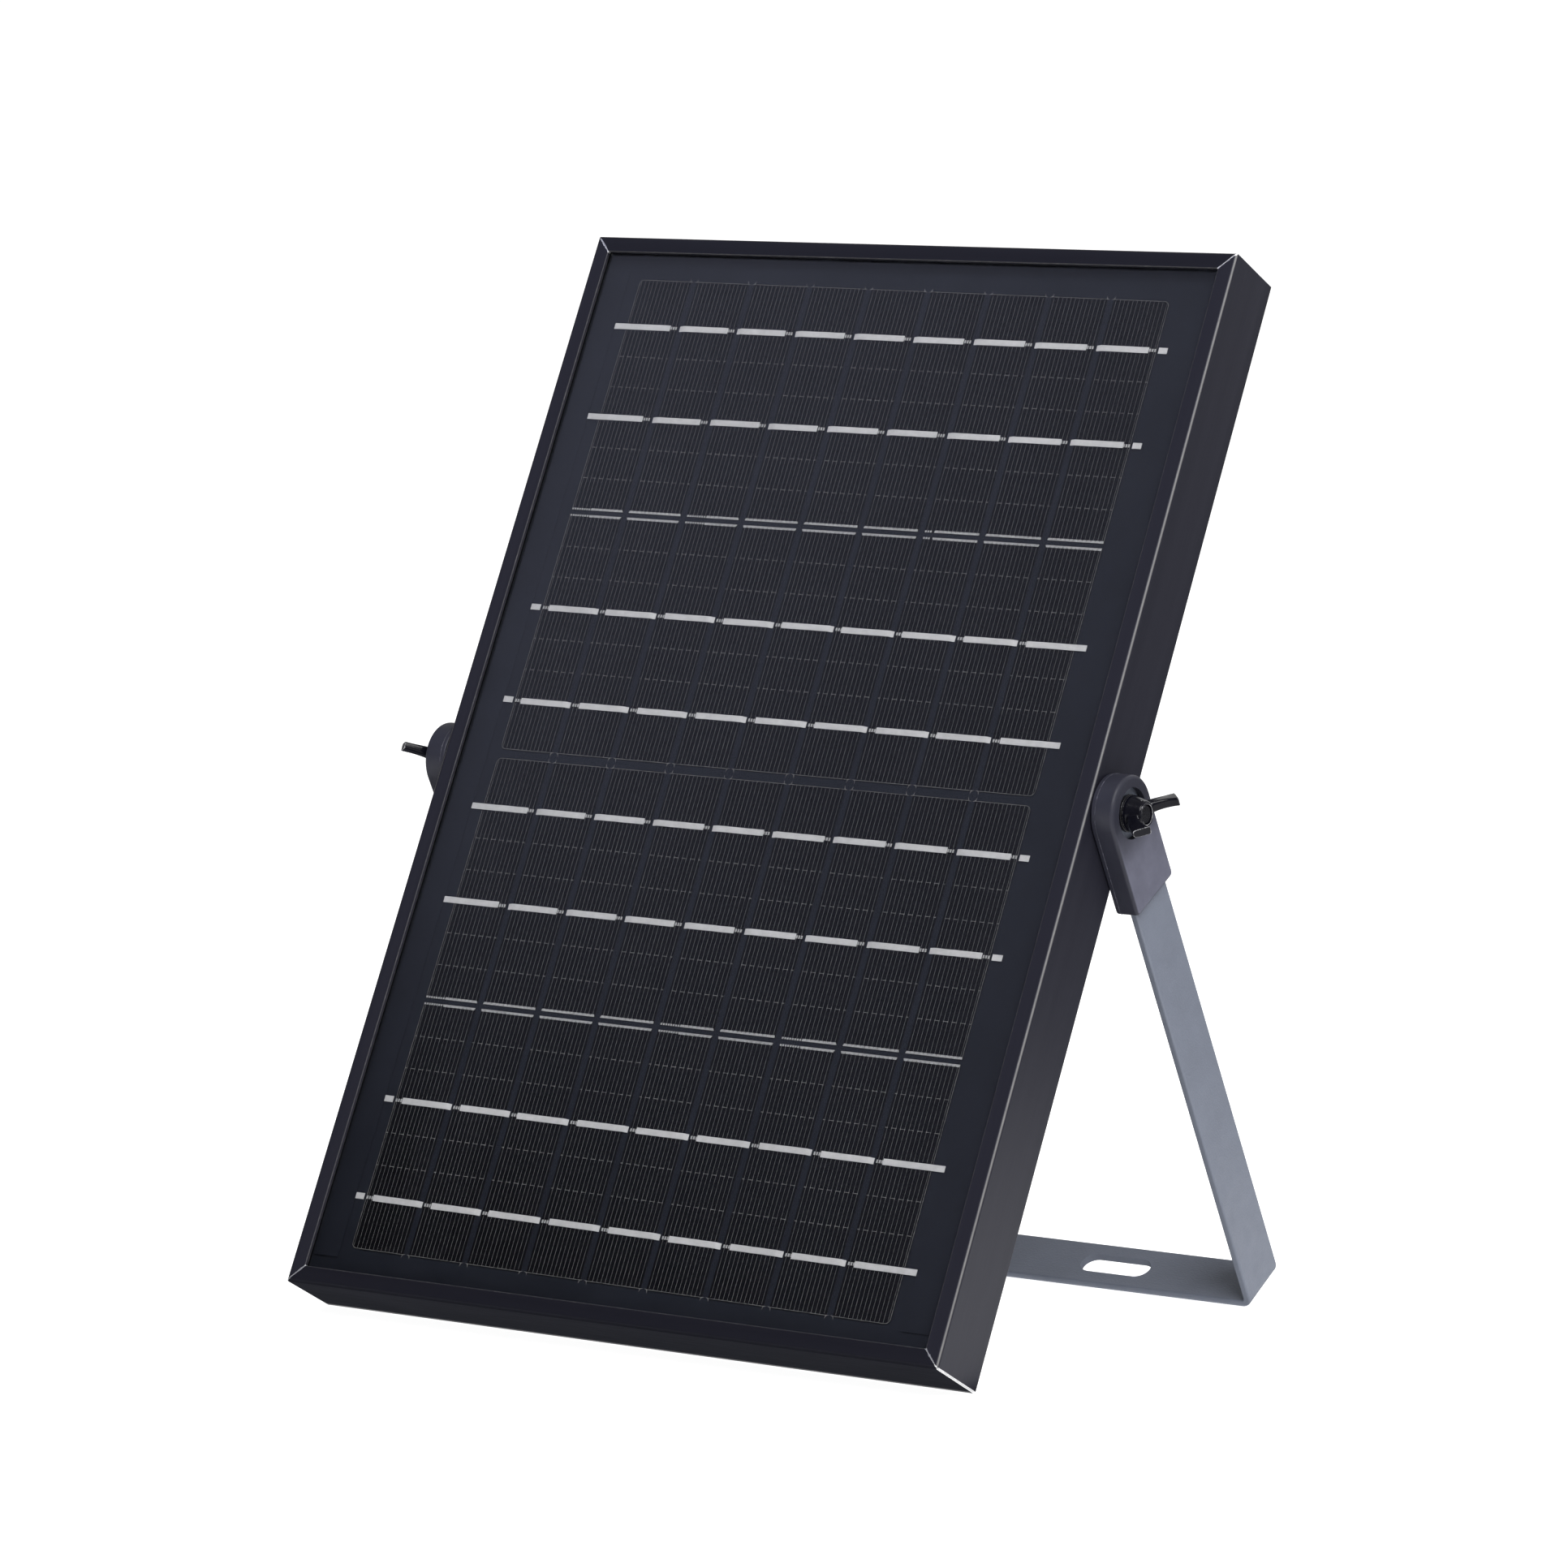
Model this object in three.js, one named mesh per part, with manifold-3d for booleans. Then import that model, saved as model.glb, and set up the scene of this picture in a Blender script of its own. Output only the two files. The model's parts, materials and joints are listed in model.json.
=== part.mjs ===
// A small framed solar panel on a folding U stand, in millimetres, +Z up, front towards -Y.
// The panel leans back on its pivot bolts and the stand's base bar rests on the ground behind it.

import * as THREE from 'three';
import { mergeVertices } from 'three/addons/utils/BufferGeometryUtils.js';
import Module from 'manifold-3d';

const wasm = await Module();
wasm.setup();

// ---------------------------------------------------------------- driving dimensions

// Panel
const PANEL_WIDTH = 250;
const PANEL_HEIGHT = 376;
const PANEL_DEPTH = 25;
const PANEL_LEAN = THREE.MathUtils.degToRad(28.5);

// Frame extrusion, measured inwards from its outer face and rearwards from its front face
const WALL = 1.4;
const EDGE_RADIUS = 1.2;
const LIP_WIDTH = 5.8;
const LIP_THICKNESS = 1.3;
const SHELF_FRONT = 5.9;
const SHELF_THICKNESS = 1.2;
const SHELF_WIDTH = 8;
const FLANGE_WIDTH = 14;
const FLANGE_THICKNESS = 1.3;
const RIB_THICKNESS = 1;
const RIB_HEIGHT = 3;
const MITRE_GAP = 0.15;

// Corner keys
const KEY_ARM = 26;
const KEY_THICKNESS = 5;

// Laminate, front to back: each layer is [front, rear], rearwards from the frame's front face
const LAYER = {
  glass: [1.6, 4.05],
  frontEncapsulant: [4.1, 4.35],
  maskingFilm: [4.4, 4.5],
  ribbon: [4.55, 4.7],
  cell: [4.6, 4.8],
  rearEncapsulant: [4.9, 5.15],
  lead: [5.2, 5.35],
  backsheet: [5.45, 5.65],
};
const SEAL_THICKNESS = 1.4;

// Cells
const CELL_COLUMNS = 9;
const CELL_PITCH = 23.4;
const CELL_WIDTH = 21.1;
const CELL_HEIGHT = 85.3;
const SPLIT_GAP = 1.6;
const MIDDLE_GAP = 2.9;
const CELL_BLOCK_DROP = 0.45;
const CELL_BLOCK_X = -2.4;
const BUSBAR_PITCH = 11.2;
const HALF_BUSBAR_INSET = 0.55;
const RIBBON_WIDTH = 2;
const RIBBON_END = 109.5;

// Bus ribbons beside the rows, measured sideways from the middle of the block of cells
const BUS_START = 109.8;
const BUS_WIDTH = 4;
const BUS_OVERRUN = 2;
const FILM_START = 108.5;
const FILM_OVERRUN = 3;
const FILM_EDGE_X = 120.5;

// Lead ribbons: the tab of each turns back into the junction box through the window
const LEAD_RIBBONS = {
  positive: { tabX: -14, up: 1.5 },
  negative: { tabX: 12, up: -1.5 },
};
const LEAD_TAB_WIDTH = 1.6;
const LEAD_TAB_REACH = 5;

// Junction box on the back of the laminate
const BOX_WIDTH = 64;
const BOX_HEIGHT = 56;
const BOX_CENTRE_UP = 105;
const BOX_FRONT = 6.9;
const BOX_REAR = 20.6;
const BOX_WALL = 1.8;
const LID_FRONT = 21.9;
const LID_REAR = 24.2;
const LEAD_WINDOW = { width: 34, height: 6 };
const BOX_PAD_INSET = 1;
const BOX_PAD_WIDTH = 9;
const BOSS_RADIUS = 3.4;
const BOSS_INSET = 4;

// Lid screws, with a cross recess
const LID_SCREW_RADIUS = 1.3;
const LID_SCREW_REACH = 8;
const SCREW_HEAD_RADIUS = 2.6;
const SCREW_HEAD_HEIGHT = 1.4;
const DRIVER_SLOT_LENGTH = 3.2;
const DRIVER_SLOT_WIDTH = 0.7;
const DRIVER_SLOT_DEPTH = 0.8;

// Terminals on either side of the window, each with its screw, and the diode above them
const TERMINAL_X = 20;
const TERMINAL_WIDTH = 8;
const TERMINAL_HEIGHT = 12;
const TERMINAL_REAR = 16.7;
const TERMINAL_DROP = 12;
const TERMINAL_BORE_RADIUS = 1.8;
const TERMINAL_BORE_DEPTH = 5;
const TERMINAL_SCREW_RADIUS = 1.5;
const TERMINAL_SCREW_REACH = 4;
const TERMINAL_HEAD_RADIUS = 3;
const TERMINAL_HEAD_HEIGHT = 1.8;
const DIODE_UP = 12;
const DIODE_LIFT = 4;
const DIODE_RADIUS = 2.7;
const DIODE_LENGTH = 9;
const DIODE_LEG_RADIUS = 0.6;
const DIODE_LEG_SPAN = 30;

// Cable gland: a threaded stub moulded on the box's lower wall, a rubber bush and a nut
const GLAND_BORE_RADIUS = 3.2;
const GLAND_SEAT_RADIUS = 4.2;
const GLAND_SEAT_LENGTH = 3;
const GLAND_STUB_RADIUS = 5.2;
const GLAND_STUB_LENGTH = 9;
const GLAND_NUT_FLATS = 13.4;
const GLAND_NUT_START = 2;
const GLAND_NUT_END = 15;
const GLAND_BUSH_LENGTH = 5;
const GLAND_DOME = { start: 9, startRadius: 6.6, shoulder: 11.5, shoulderRadius: 6.4, endRadius: 4.8 };

// Stand
const BAR_WIDTH = 20;
const BAR_THICKNESS = 2.5;
const LEG_OUTER_X = 131.2;
const LEG_LENGTH = 188.5;
const BEND_RADIUS = 3.5;
const SLOT_LENGTH = 26;
const SLOT_WIDTH = 9;
const SLOT_CENTRE_X = 75;

// End caps
const CAP_INNER_X = 125.3;
const CAP_OUTER_X = 133.4;
const CAP_RADIUS = 12.2;
const CAP_LENGTH = 31.5;
const CAP_ROUNDING = 0.9;
const CAP_CORNER_RADIUS = 1.5;
const POCKET_CORNER_RADIUS = 0.1;
const CAP_RECESS_RADIUS = 8.2;

// Pivot hardware, M6
const BOLT_RADIUS = 3;
const BOLT_HEAD_FLATS = 10;
const BOLT_HEAD_HEIGHT = 4;
const BOLT_HEAD_X = 122.3;
const BOLT_END_X = 138.3;
const BOLT_END_CHAMFER = 0.6;
const CLEARANCE_HOLE_RADIUS = 3.3;
const WASHER_RADIUS = 6;
const WASHER_THICKNESS = 1.2;
const LOCK_WASHER_RADIUS = 5;
const LOCK_WASHER_THICKNESS = 0.7;
const NUT_BASE_RADIUS = 5.8;
const NUT_TOP_RADIUS = 4.4;
const NUT_HEIGHT = 5.8;
const NUT_BORE_RADIUS = 3.2;
const WING_THICKNESS = 2.7;
const NUT_FOOT_HEIGHT = 1;
const NUT_CHAMFER = 0.5;

// The two ends of the pivot: how far each is turned half round Z, and where its wing nut stopped
const SIDES = [
  { side: 'right', turn: 0, wingAngle: THREE.MathUtils.degToRad(21) },
  { side: 'left', turn: Math.PI, wingAngle: THREE.MathUtils.degToRad(24) },
];

// General
const GAP = 0.3;
const OVERCUT = 1;
const ROUND_SEGMENTS = 24;

// ---------------------------------------------------------------- derived dimensions

const HALF_WIDTH = PANEL_WIDTH / 2;
const HALF_HEIGHT = PANEL_HEIGHT / 2;
const HALF_DEPTH = PANEL_DEPTH / 2;
const SHELF_REAR = SHELF_FRONT + SHELF_THICKNESS;
const FLANGE_FRONT = PANEL_DEPTH - FLANGE_THICKNESS;

// The panel's rear bottom edge and the base bar's front bottom edge both touch the ground.
const PIVOT_HEIGHT = HALF_HEIGHT * Math.cos(PANEL_LEAN) + HALF_DEPTH * Math.sin(PANEL_LEAN);
const STAND_LEAN = Math.acos(PIVOT_HEIGHT / Math.hypot(LEG_LENGTH, BAR_WIDTH / 2))
  + Math.atan2(BAR_WIDTH / 2, LEG_LENGTH);

const SEAL_OUTER = WALL + GAP;
const LAMINATE_EDGE = SEAL_OUTER + SEAL_THICKNESS + GAP;
const LAMINATE_WIDTH = PANEL_WIDTH - 2 * LAMINATE_EDGE;
const LAMINATE_HEIGHT = PANEL_HEIGHT - 2 * LAMINATE_EDGE;

const BOSS_X = BOX_WIDTH / 2 - BOSS_INSET;
const BOSS_Z = BOX_HEIGHT / 2 - BOSS_INSET;
const GLAND_DEPTH = (BOX_FRONT + BOX_REAR) / 2;

const CELL_BLOCK_HEIGHT = 4 * CELL_HEIGHT + 2 * SPLIT_GAP + MIDDLE_GAP;
const CELL_BLOCK_TOP = CELL_BLOCK_HEIGHT / 2 - CELL_BLOCK_DROP;

// Top edge of each row of cells, and whether the edge that was split off is its bottom one.
const ROWS = [
  { top: CELL_BLOCK_TOP, splitAtBottom: true },
  { top: CELL_BLOCK_TOP - CELL_HEIGHT - SPLIT_GAP, splitAtBottom: false },
  { top: CELL_BLOCK_TOP - 2 * CELL_HEIGHT - SPLIT_GAP - MIDDLE_GAP, splitAtBottom: true },
  { top: CELL_BLOCK_TOP - 3 * CELL_HEIGHT - 2 * SPLIT_GAP - MIDDLE_GAP, splitAtBottom: false },
];

// ---------------------------------------------------------------- materials

function material(color, roughness, metalness, extra = {}) {
  return new THREE.MeshStandardMaterial({ color, roughness, metalness, ...extra });
}

const blackAnodised = material(0x26262b, 0.4, 0.8);
const aluminium = material(0xb4b6ba, 0.4, 1);
const sealant = material(0x0c0c0d, 0.7, 0);
const glass = material(0x222733, 0.1, 0, { transparent: true, opacity: 0.35 });
const encapsulant = material(0xc9ccd2, 0.3, 0, { transparent: true, opacity: 0.35 });
const silicon = material(0x14161f, 0.3, 0.1);
const tinned = material(0xd6d7d8, 0.35, 0.9);
const blackFilm = material(0x15171f, 0.5, 0);
const blackPlastic = material(0x18181a, 0.5, 0);
const rubber = material(0x0f0f10, 0.8, 0);
const brass = material(0xb08d4a, 0.4, 1);
const zincSteel = material(0xa9acb0, 0.35, 1);
const blackSteel = material(0x3a3a3f, 0.4, 0.9);
const powderCoat = material(0x666b78, 0.55, 0.1);
const capPlastic = material(0x3b3c48, 0.55, 0);
const blackNickel = material(0x121214, 0.2, 0.8);

// ---------------------------------------------------------------- solids: join, cut, build

function toSolid(geometry) {
  const bare = geometry.clone();
  bare.deleteAttribute('normal');
  bare.deleteAttribute('uv');
  const merged = mergeVertices(bare, 1e-4);
  return new wasm.Manifold(new wasm.Mesh({
    numProp: 3,
    vertProperties: new Float32Array(merged.attributes.position.array),
    triVerts: new Uint32Array(merged.index.array),
  }));
}

function toGeometry(solid) {
  const mesh = solid.getMesh();
  const geometry = new THREE.BufferGeometry();
  geometry.setAttribute('position', new THREE.BufferAttribute(new Float32Array(mesh.vertProperties), 3));
  geometry.setIndex(new THREE.BufferAttribute(new Uint32Array(mesh.triVerts), 1));
  geometry.computeVertexNormals();
  return geometry;
}

function join(...geometries) {
  return toGeometry(geometries.map(toSolid).reduce((whole, next) => whole.add(next)));
}

function cut(geometry, ...tools) {
  return toGeometry(tools.map(toSolid).reduce((whole, tool) => whole.subtract(tool), toSolid(geometry)));
}

// A box from its lowest to its highest corner.
function boxBetween([x0, y0, z0], [x1, y1, z1]) {
  const box = new THREE.BoxGeometry(x1 - x0, y1 - y0, z1 - z0);
  return box.translate((x0 + x1) / 2, (y0 + y1) / 2, (z0 + z1) / 2);
}

// A flat shape drawn in x and z, given a thickness along y from y0 to y1.
function plateXZ(shape, y0, y1, curveSegments = 6) {
  const plate = new THREE.ExtrudeGeometry(shape, { depth: y1 - y0, bevelEnabled: false, curveSegments });
  return plate.rotateX(Math.PI / 2).translate(0, y1, 0);
}

// A solid turned about the X axis; each profile point is [x, radius], and the profile closes on itself.
function turnedX(profile) {
  const points = [...profile, profile[0]].map(([x, radius]) => new THREE.Vector2(radius, x));
  return new THREE.LatheGeometry(points, ROUND_SEGMENTS).rotateZ(-Math.PI / 2);
}

function discX(radius, x0, x1, segments = ROUND_SEGMENTS) {
  const disc = new THREE.CylinderGeometry(radius, radius, x1 - x0, segments);
  return disc.rotateZ(-Math.PI / 2).translate((x0 + x1) / 2, 0, 0);
}

function ringX(innerRadius, outerRadius, x0, x1) {
  return turnedX([[x0, innerRadius], [x0, outerRadius], [x1, outerRadius], [x1, innerRadius]]);
}

// A hexagonal prism along X, two of its flats facing +Y and -Y.
function hexX(flats, x0, x1) {
  return discX(flats / Math.sqrt(3), x0, x1, 6);
}

function rectangle(width, height, centreX = 0, centreY = 0) {
  const shape = new THREE.Shape();
  shape.moveTo(centreX - width / 2, centreY - height / 2);
  shape.lineTo(centreX + width / 2, centreY - height / 2);
  shape.lineTo(centreX + width / 2, centreY + height / 2);
  shape.lineTo(centreX - width / 2, centreY + height / 2);
  shape.closePath();
  return shape;
}

function rectangularRing(outerWidth, outerHeight, thickness, centreX = 0, centreY = 0) {
  const ring = rectangle(outerWidth, outerHeight, centreX, centreY);
  ring.holes.push(rectangle(outerWidth - 2 * thickness, outerHeight - 2 * thickness, centreX, centreY));
  return ring;
}

// ---------------------------------------------------------------- assembly groups

// Panel space: x to the right, y rearwards through the panel, z up its face, origin on the pivot line.
const panel = new THREE.Group();
panel.rotation.x = -PANEL_LEAN;
panel.position.z = PIVOT_HEIGHT;

// Stand space: the legs hang down -Z from the pivot line.
const stand = new THREE.Group();
stand.rotation.x = STAND_LEAN;
stand.position.z = PIVOT_HEIGHT;

const solarPanel = new THREE.Group();
solarPanel.add(panel, stand);

function add(group, name, geometry, surface) {
  const mesh = new THREE.Mesh(geometry, surface);
  mesh.name = name;
  group.add(mesh);
  return mesh;
}

// Depth below the panel's front face, as y in panel space.
function depth(fromFront) {
  return fromFront - HALF_DEPTH;
}

// ---------------------------------------------------------------- frame

// x is inwards from the outer face, y rearwards from the front face.
function frameProfile() {
  const ribInner = SHELF_WIDTH - RIB_THICKNESS;
  const profile = new THREE.Shape();
  profile.moveTo(0, EDGE_RADIUS);
  profile.absarc(EDGE_RADIUS, EDGE_RADIUS, EDGE_RADIUS, Math.PI, 1.5 * Math.PI, false);
  profile.lineTo(LIP_WIDTH, 0);
  profile.lineTo(LIP_WIDTH, LIP_THICKNESS);
  profile.lineTo(WALL, LIP_THICKNESS);
  profile.lineTo(WALL, SHELF_FRONT);
  profile.lineTo(SHELF_WIDTH, SHELF_FRONT);
  profile.lineTo(SHELF_WIDTH, SHELF_REAR + RIB_HEIGHT);
  profile.lineTo(ribInner, SHELF_REAR + RIB_HEIGHT);
  profile.lineTo(ribInner, SHELF_REAR);
  profile.lineTo(WALL, SHELF_REAR);
  profile.lineTo(WALL, FLANGE_FRONT);
  profile.lineTo(ribInner, FLANGE_FRONT);
  profile.lineTo(ribInner, FLANGE_FRONT - RIB_HEIGHT);
  profile.lineTo(SHELF_WIDTH, FLANGE_FRONT - RIB_HEIGHT);
  profile.lineTo(SHELF_WIDTH, FLANGE_FRONT);
  profile.lineTo(FLANGE_WIDTH, FLANGE_FRONT);
  profile.lineTo(FLANGE_WIDTH, PANEL_DEPTH);
  profile.lineTo(0, PANEL_DEPTH);
  profile.closePath();
  return profile;
}

// A member lying along X at the bottom of the frame, its ends mitred at 45 degrees.
function frameMember(length, distanceFromCentre) {
  const geometry = new THREE.ExtrudeGeometry(frameProfile(), {
    depth: 1, bevelEnabled: false, curveSegments: 4,
  });
  const position = geometry.attributes.position;
  for (let i = 0; i < position.count; i += 1) {
    const inwards = position.getX(i);
    const rearwards = position.getY(i);
    const end = 0.5 - position.getZ(i);
    const mitredX = end * (length - 2 * (inwards + MITRE_GAP));
    position.setXYZ(i, mitredX, depth(rearwards), inwards - distanceFromCentre);
  }
  return geometry;
}

function addFrame() {
  const pivotHole = discX(CLEARANCE_HOLE_RADIUS, HALF_WIDTH - WALL - OVERCUT, HALF_WIDTH + OVERCUT);
  const sideMember = frameMember(PANEL_HEIGHT, HALF_WIDTH);
  add(panel, 'frame_bottom', frameMember(PANEL_WIDTH, HALF_HEIGHT), blackAnodised);
  add(panel, 'frame_top', frameMember(PANEL_WIDTH, HALF_HEIGHT).rotateY(Math.PI), blackAnodised);
  const right = sideMember.clone().rotateY(-Math.PI / 2);
  const left = sideMember.clone().rotateY(Math.PI / 2);
  add(panel, 'frame_right', cut(right, pivotHole), blackAnodised);
  add(panel, 'frame_left', cut(left, pivotHole.clone().rotateZ(Math.PI)), blackAnodised);
}

// An L-shaped key in the channel between the frame's shelf and its rear flange.
function addCornerKeys() {
  const outer = WALL + GAP;
  const x = HALF_WIDTH - outer;
  const z = HALF_HEIGHT - outer;
  const key = new THREE.Shape();
  key.moveTo(x, z);
  key.lineTo(x - KEY_ARM, z);
  key.lineTo(x - KEY_ARM, z - KEY_THICKNESS);
  key.lineTo(x - KEY_THICKNESS, z - KEY_THICKNESS);
  key.lineTo(x - KEY_THICKNESS, z - KEY_ARM);
  key.lineTo(x, z - KEY_ARM);
  key.closePath();
  const topRight = plateXZ(key, depth(SHELF_REAR + GAP), depth(FLANGE_FRONT - GAP));
  const mirrorX = new THREE.Matrix4().makeScale(-1, 1, 1);
  const topLeft = flipWinding(topRight.clone().applyMatrix4(mirrorX));
  add(panel, 'corner_key_top_right', topRight, aluminium);
  add(panel, 'corner_key_top_left', topLeft, aluminium);
  add(panel, 'corner_key_bottom_left', topRight.clone().rotateY(Math.PI), aluminium);
  add(panel, 'corner_key_bottom_right', topLeft.clone().rotateY(Math.PI), aluminium);
}

// Mirroring turns every face inside out, so each triangle's last two corners change places.
function flipWinding(geometry) {
  const flipped = geometry.index ? geometry.toNonIndexed() : geometry.clone();
  const position = flipped.attributes.position;
  const second = new THREE.Vector3();
  const third = new THREE.Vector3();
  for (let i = 0; i < position.count; i += 3) {
    second.fromBufferAttribute(position, i + 1);
    third.fromBufferAttribute(position, i + 2);
    position.setXYZ(i + 1, third.x, third.y, third.z);
    position.setXYZ(i + 2, second.x, second.y, second.z);
  }
  flipped.computeVertexNormals();
  return flipped;
}

// ---------------------------------------------------------------- laminate

function sheet([front, rear], width, height) {
  return plateXZ(rectangle(width, height), depth(front), depth(rear));
}

// Where the lead ribbons pass back into the junction box.
function leadWindow() {
  const halfWidth = LEAD_WINDOW.width / 2;
  const halfHeight = LEAD_WINDOW.height / 2;
  return boxBetween(
    [-halfWidth, depth(0), BOX_CENTRE_UP - halfHeight],
    [halfWidth, depth(PANEL_DEPTH), BOX_CENTRE_UP + halfHeight],
  );
}

function ribbonHeights(row) {
  return [3, 6].map((step) => (row.splitAtBottom
    ? row.top - CELL_HEIGHT + HALF_BUSBAR_INSET + step * BUSBAR_PITCH
    : row.top - HALF_BUSBAR_INSET - step * BUSBAR_PITCH));
}

// Nine cells side by side, soldered into one string by two ribbons across them all.
function cellString(row) {
  const parts = [];
  for (let column = 0; column < CELL_COLUMNS; column += 1) {
    const centre = CELL_BLOCK_X + (column - (CELL_COLUMNS - 1) / 2) * CELL_PITCH;
    parts.push(boxBetween(
      [centre - CELL_WIDTH / 2, depth(LAYER.cell[0]), row.top - CELL_HEIGHT],
      [centre + CELL_WIDTH / 2, depth(LAYER.cell[1]), row.top],
    ));
  }
  for (const height of ribbonHeights(row)) {
    parts.push(boxBetween(
      [CELL_BLOCK_X - RIBBON_END, depth(LAYER.ribbon[0]), height - RIBBON_WIDTH / 2],
      [CELL_BLOCK_X + RIBBON_END, depth(LAYER.ribbon[1]), height + RIBBON_WIDTH / 2],
    ));
  }
  return join(...parts);
}

// A flat ribbon up one side of the laminate, wide enough to take both ribbons of each row it serves.
function busRibbon(side, heights) {
  const inner = CELL_BLOCK_X + side * BUS_START;
  const outer = CELL_BLOCK_X + side * (BUS_START + BUS_WIDTH);
  return boxBetween(
    [Math.min(inner, outer), depth(LAYER.cell[0]), Math.min(...heights) - BUS_OVERRUN],
    [Math.max(inner, outer), depth(LAYER.cell[1]), Math.max(...heights) + BUS_OVERRUN],
  );
}

// A lead that starts beside a row's left end, runs behind the cells to the box and turns back into it.
function leadRibbon(row, laneX, { tabX, up }) {
  const [front, rear] = LAYER.lead;
  const height = BOX_CENTRE_UP + up;
  const rowHeights = ribbonHeights(row);
  const low = Math.min(...rowHeights, height) - BUS_OVERRUN;
  const high = Math.max(...rowHeights, height) + BUS_OVERRUN;
  const upright = boxBetween([laneX - BUS_WIDTH, depth(front), low], [laneX, depth(rear), high]);
  const across = boxBetween(
    [laneX - BUS_WIDTH, depth(front), height - RIBBON_WIDTH / 2],
    [tabX + RIBBON_WIDTH, depth(rear), height + RIBBON_WIDTH / 2],
  );
  const tab = boxBetween(
    [tabX, depth((front + rear) / 2), height - LEAD_TAB_WIDTH / 2],
    [tabX + (rear - front), depth(BOX_FRONT + LEAD_TAB_REACH), height + LEAD_TAB_WIDTH / 2],
  );
  return join(upright, across, tab);
}

function addLaminate() {
  const sealSection = [LAYER.glass[0], LAYER.backsheet[1]];
  const seal = rectangularRing(PANEL_WIDTH - 2 * SEAL_OUTER, PANEL_HEIGHT - 2 * SEAL_OUTER, SEAL_THICKNESS);
  add(panel, 'edge_seal', plateXZ(seal, depth(sealSection[0]), depth(sealSection[1])), sealant);
  add(panel, 'front_glass', sheet(LAYER.glass, LAMINATE_WIDTH, LAMINATE_HEIGHT), glass);
  const frontEncapsulant = sheet(LAYER.frontEncapsulant, LAMINATE_WIDTH, LAMINATE_HEIGHT);
  add(panel, 'front_encapsulant', frontEncapsulant, encapsulant);

  ROWS.forEach((row, index) => {
    add(panel, `cell_string_${index + 1}`, cellString(row), silicon);
  });

  const heights = ROWS.map(ribbonHeights);
  add(panel, 'bus_ribbon_upper_right', busRibbon(1, [...heights[0], ...heights[1]]), tinned);
  add(panel, 'bus_ribbon_middle_left', busRibbon(-1, [...heights[1], ...heights[2]]), tinned);
  add(panel, 'bus_ribbon_lower_right', busRibbon(1, [...heights[2], ...heights[3]]), tinned);

  const firstLane = CELL_BLOCK_X - BUS_START;
  const secondLane = firstLane - BUS_WIDTH - GAP;
  add(panel, 'lead_ribbon_positive', leadRibbon(ROWS[0], firstLane, LEAD_RIBBONS.positive), tinned);
  add(panel, 'lead_ribbon_negative', leadRibbon(ROWS[3], secondLane, LEAD_RIBBONS.negative), tinned);

  const filmHeight = CELL_BLOCK_HEIGHT + 2 * FILM_OVERRUN;
  for (const [name, side] of [['masking_film_left', -1], ['masking_film_right', 1]]) {
    const inner = CELL_BLOCK_X + side * FILM_START;
    const outer = side * FILM_EDGE_X;
    const strip = rectangle(Math.abs(outer - inner), filmHeight, (inner + outer) / 2, 0);
    add(panel, name, plateXZ(strip, depth(LAYER.maskingFilm[0]), depth(LAYER.maskingFilm[1])), blackFilm);
  }

  const rearEncapsulant = sheet(LAYER.rearEncapsulant, LAMINATE_WIDTH, LAMINATE_HEIGHT);
  const backsheet = sheet(LAYER.backsheet, LAMINATE_WIDTH, LAMINATE_HEIGHT);
  add(panel, 'rear_encapsulant', rearEncapsulant, blackFilm);
  add(panel, 'backsheet', cut(backsheet, leadWindow()), blackFilm);
}

// ---------------------------------------------------------------- junction box

// A cylinder through the panel's depth, front to rear.
function discY(radius, front, rear, x, z, segments = 12) {
  const disc = new THREE.CylinderGeometry(radius, radius, rear - front, segments);
  return disc.translate(x, depth((front + rear) / 2), z);
}

const BOX_CORNERS = [
  ['top_left', -BOSS_X, BOX_CENTRE_UP + BOSS_Z],
  ['top_right', BOSS_X, BOX_CENTRE_UP + BOSS_Z],
  ['bottom_left', -BOSS_X, BOX_CENTRE_UP - BOSS_Z],
  ['bottom_right', BOSS_X, BOX_CENTRE_UP - BOSS_Z],
];

function boxBase() {
  const outline = rectangle(BOX_WIDTH, BOX_HEIGHT, 0, BOX_CENTRE_UP);
  const hollow = rectangle(BOX_WIDTH - 2 * BOX_WALL, BOX_HEIGHT - 2 * BOX_WALL, 0, BOX_CENTRE_UP);
  const tray = cut(
    plateXZ(outline, depth(BOX_FRONT), depth(BOX_REAR)),
    plateXZ(hollow, depth(BOX_FRONT + BOX_WALL), depth(BOX_REAR + OVERCUT)),
  );
  const bosses = BOX_CORNERS.map(([, x, z]) => discY(BOSS_RADIUS, BOX_FRONT + OVERCUT, BOX_REAR, x, z));
  const pilots = BOX_CORNERS.map(([, x, z]) => (
    discY(LID_SCREW_RADIUS + GAP, BOX_FRONT + BOX_WALL, BOX_REAR + OVERCUT, x, z)));
  const stub = glandTurned(GLAND_STUB_RADIUS, -BOX_WALL / 2, GLAND_STUB_LENGTH);
  const bore = glandTurned(GLAND_BORE_RADIUS, -BOX_WALL - OVERCUT, GLAND_STUB_LENGTH);
  const seatStart = GLAND_STUB_LENGTH - GLAND_SEAT_LENGTH;
  const seat = glandTurned(GLAND_SEAT_RADIUS, seatStart, GLAND_STUB_LENGTH + OVERCUT);
  return cut(join(tray, ...bosses, stub), leadWindow(), bore, seat, ...pilots);
}

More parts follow.
